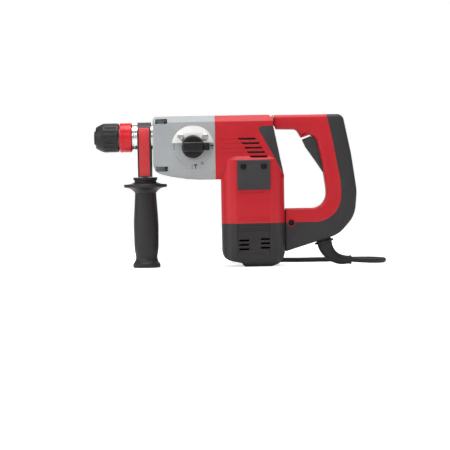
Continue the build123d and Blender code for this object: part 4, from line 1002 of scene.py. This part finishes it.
plate_bm = skin_of("selector_plate")
bend_z = 183.0 * mm
plate_front_y, plate_lean = -0.0382, 0.14
cut = plate_bm.verts[:] + plate_bm.edges[:] + plate_bm.faces[:]
bmesh.ops.bisect_plane(plate_bm, geom=cut, plane_co=(0, 0, bend_z), plane_no=(0, 0, 1))
for vert in plate_bm.verts:
    if vert.co.z > bend_z and vert.co.y < plate_front_y:
        vert.co.y += (vert.co.z - bend_z) * plate_lean
bent_plate = mesh_piece("selector_retainer", plate_bm, plate_steel(), 4.0)
fit_piece(bent_plate, "selector_plate")


def knob_plastic():
    return finish(
        "knob_plastic", (0.014, 0.014, 0.015), (0.06, 0.06, 0.06),
        gloss=(0.22, 0.34), pitch=0.0008, depth=2e-5, wear=0.4,
    )


knob_black = knob_plastic()
knob = mesh_piece("mode_knob", skin_of("selector_knob"), knob_black)
fit_piece(knob, "selector_knob")
button = mesh_piece("knob_lock", skin_of("selector_lock_button"), knob_black)
fit_piece(button, "selector_lock_button")


def printing_ink():
    return finish(
        "printing_ink", (0.012, 0.012, 0.013), (0.03, 0.03, 0.03),
        gloss=(0.5, 0.6), pitch=0.0006, depth=1e-5, wear=0.1,
    )


def mark_shape(bm, outline, face_y=-37.0, proud=0.08):
    """A flat pad of ink with an (x, z) outline in millimetres."""
    front = [bm.verts.new((x * mm, (face_y - proud) * mm, z * mm)) for x, z in outline]
    back = [bm.verts.new((x * mm, (face_y + 0.05) * mm, z * mm)) for x, z in outline]
    bm.faces.new(front)
    bm.faces.new(list(reversed(back)))
    for i in range(len(outline)):
        j = (i + 1) % len(outline)
        bm.faces.new((front[j], front[i], back[i], back[j]))


def round_mark(x, z, r, count=20):
    angles = [2 * math.pi * i / count for i in range(count)]
    return [(x + r * math.cos(a), z + r * math.sin(a)) for a in angles]


def arc_mark(x, z, inner, outer, start, end, count=28):
    angles = [math.radians(start + (end - start) * i / count) for i in range(count + 1)]
    out = [(x + outer * math.cos(a), z + outer * math.sin(a)) for a in angles]
    return out + [(x + inner * math.cos(a), z + inner * math.sin(a)) for a in reversed(angles)]


def hammer_mark(x, z, h):
    head_half, stem_half, top, neck, foot = h * 0.36, h * 0.1, z + h / 2, z + h * 0.2, z - h / 2
    right = [(x + head_half, top), (x + head_half, neck), (x + stem_half, neck), (x + stem_half, foot)]
    left = [(x - stem_half, foot), (x - stem_half, neck), (x - head_half, neck)]
    return [(x - head_half, top)] + right + left


ink = bmesh.new()
for dz in (-2.6, 0.0, 2.6):
    mark_shape(ink, round_mark(-106.2, 164.5 + dz, 0.75))
mark_shape(ink, hammer_mark(-54.4, 164.1, 6.6))
mark_shape(ink, hammer_mark(-77.2, 138.0, 6.0))
for dz in (-2.2, 0.0, 2.2):
    mark_shape(ink, round_mark(-82.0, 138.0 + dz, 0.65))
mark_shape(ink, arc_mark(-68.2, 142.4, 1.1, 1.8, 0, 350))
mark_shape(ink, [(-79.2, 146.0), (-78.9, 146.0), (-78.9, 149.0), (-79.2, 149.0)])
bmesh.ops.recalc_face_normals(ink, faces=ink.faces)
marks = mesh_piece("selector_marks", ink, printing_ink(), 20.0)
scale_bm = bmesh.new()
for start, end in ((196, 248), (306, 346)):
    mark_shape(scale_bm, arc_mark(-80.4, 164.5, 25.8, 26.1, start, end))
bmesh.ops.recalc_face_normals(scale_bm, faces=scale_bm.faces)
scale_grey = finish(
    "scale_grey", (0.16, 0.165, 0.17), (0.2, 0.2, 0.2),
    gloss=(0.5, 0.6), pitch=0.0006, depth=1e-5, wear=0.1,
)
scale_arcs = mesh_piece("selector_scale", scale_bm, scale_grey, 20.0)
for print_piece in (marks, scale_arcs):
    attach(print_piece, "housing")

# ---- The rear handle -----------------------------------------------------------------------------
# Two red nylon shells meet on the middle plane and a soft black back closes round them. The whole
# handle rocks a little on its lower pivot against a rubber bellows, which keeps the blows off, and a
# soft strip on the motor housing closes the gap between them.
opening_centre = Vector((0.072, 0.135))
handle_round = 3.8 * mm
square_to_bolt = 8 * mm  # the edge near the pivot bolt stays square


def rounded_opening(node):
    """The shell with its edge round the hand opening turned over, as the moulding has it."""
    bm = skin_of(node)
    bmesh.ops.dissolve_limit(bm, angle_limit=math.radians(0.6), verts=bm.verts, edges=bm.edges)
    side = max(abs(v.co.y) for v in bm.verts)
    inner = []
    for edge in bm.edges:
        if len(edge.link_faces) != 2 or any(side - abs(v.co.y) > 2e-5 for v in edge.verts):
            continue
        flat, wall = sorted(edge.link_faces, key=lambda f: -abs(f.normal.y))
        middle = (edge.verts[0].co + edge.verts[1].co) / 2
        inward = opening_centre - Vector((middle.x, middle.z))
        facing = Vector((wall.normal.x, wall.normal.z))
        off_bolt = (Vector((middle.x, middle.z)) - Vector((bolt_x, bolt_z)) * mm).length
        outer_edge = abs(flat.normal.y) > 0.99 and abs(wall.normal.y) < 0.2
        if outer_edge and inward.dot(facing) > 0 and off_bolt > square_to_bolt:
            inner.append(edge)
    bmesh.ops.bevel(bm, geom=inner, offset=handle_round, segments=5, profile=0.5, affect="EDGES")
    return bm


bolt_low, bolt_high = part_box("handle_pivot_bolt")
bolt_x, bolt_z = (bolt_low.x + bolt_high.x) / 2 / mm, (bolt_low.z + bolt_high.z) / 2 / mm
left_shell = mesh_piece("handle_left", rounded_opening("handle_shell_left"), red_shell, 24.0)
fit_piece(left_shell, "handle_shell_left")
right_shell = mesh_piece("handle_right", rounded_opening("handle_shell_right"), red_shell, 24.0)
fit_piece(right_shell, "handle_shell_right")
back_shell = mesh_piece("handle_back", skin_of("handle_back_shell"), soft_grey, 24.0)
fit_piece(back_shell, "handle_back_shell")
lever = mesh_piece("trigger_lever", skin_of("trigger"), dark_nylon, 24.0)
fit_piece(lever, "trigger")


def pivot_rings(x, z, inner, outer, low, high, steps=48):
    """A flat ring on each side of the handle round the pivot bolt's head, in millimetres."""
    bm = bmesh.new()
    for side in (-1, 1):
        rows = []
        for k in range(steps):
            a = 2 * math.pi * k / steps
            corners = ((inner, low), (outer, low), (outer, high), (inner, high))
            at = [(x + r * math.cos(a), side * y, z + r * math.sin(a)) for r, y in corners]
            rows.append([bm.verts.new(Vector(p) * mm) for p in at])
        for here, after in zip(rows, rows[1:] + rows[:1]):
            for i in range(4):
                j = (i + 1) % 4
                bm.faces.new((here[i], here[j], after[j], after[i]))
    bmesh.ops.recalc_face_normals(bm, faces=bm.faces)
    return bm


shell_face = -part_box("handle_shell_left")[0].y / mm
ring_inner, ring_outer = 4.5, 5.3
ring_sunk, ring_proud = 0.6, 0.25
rings = pivot_rings(
    bolt_x, bolt_z, ring_inner, ring_outer, shell_face - ring_sunk, shell_face + ring_proud
)
bolt_rings = mesh_piece("pivot_rings", rings, red_shell, 30.0)
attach(bolt_rings, "rear_handle")

gap_strip = mesh_piece("gap_strip", bars([((43.4, -15.5, 20.0), (44.7, 15.5, 77.0))]), soft_grey)
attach(gap_strip, "housing")

# ---- The side handle -----------------------------------------------------------------------------
# A black nylon frame clamps round the neck and carries red trim strips. Twisting the soft grip turns
# a bolt that draws the clamp tight, and its wide flange keeps the hand off the work.
clamp_frame = mesh_piece("clamp_frame", skin_of("side_handle_frame"), nylon_black, 24.0)
fit_piece(clamp_frame, "side_handle_frame")


def strip_red():
    return finish(
        "strip_red", (0.50, 0.020, 0.025), (0.7, 0.15, 0.15),
        gloss=(0.36, 0.5), pitch=0.0007, depth=3e-5, wear=0.25,
    )


strips = mesh_piece("trim_strips", skin_of("side_handle_inserts"), strip_red(), 24.0)
fit_piece(strips, "side_handle_inserts")


def grip_rubber():
    return finish(
        "grip_rubber", (0.022, 0.021, 0.021), (0.09, 0.09, 0.09),
        gloss=(0.4, 0.52), pitch=0.0006, depth=5e-5, wear=0.3,
    )


grip = mesh_piece("twist_grip", skin_of("side_grip"), grip_rubber(), 30.0)
fit_piece(grip, "side_grip")
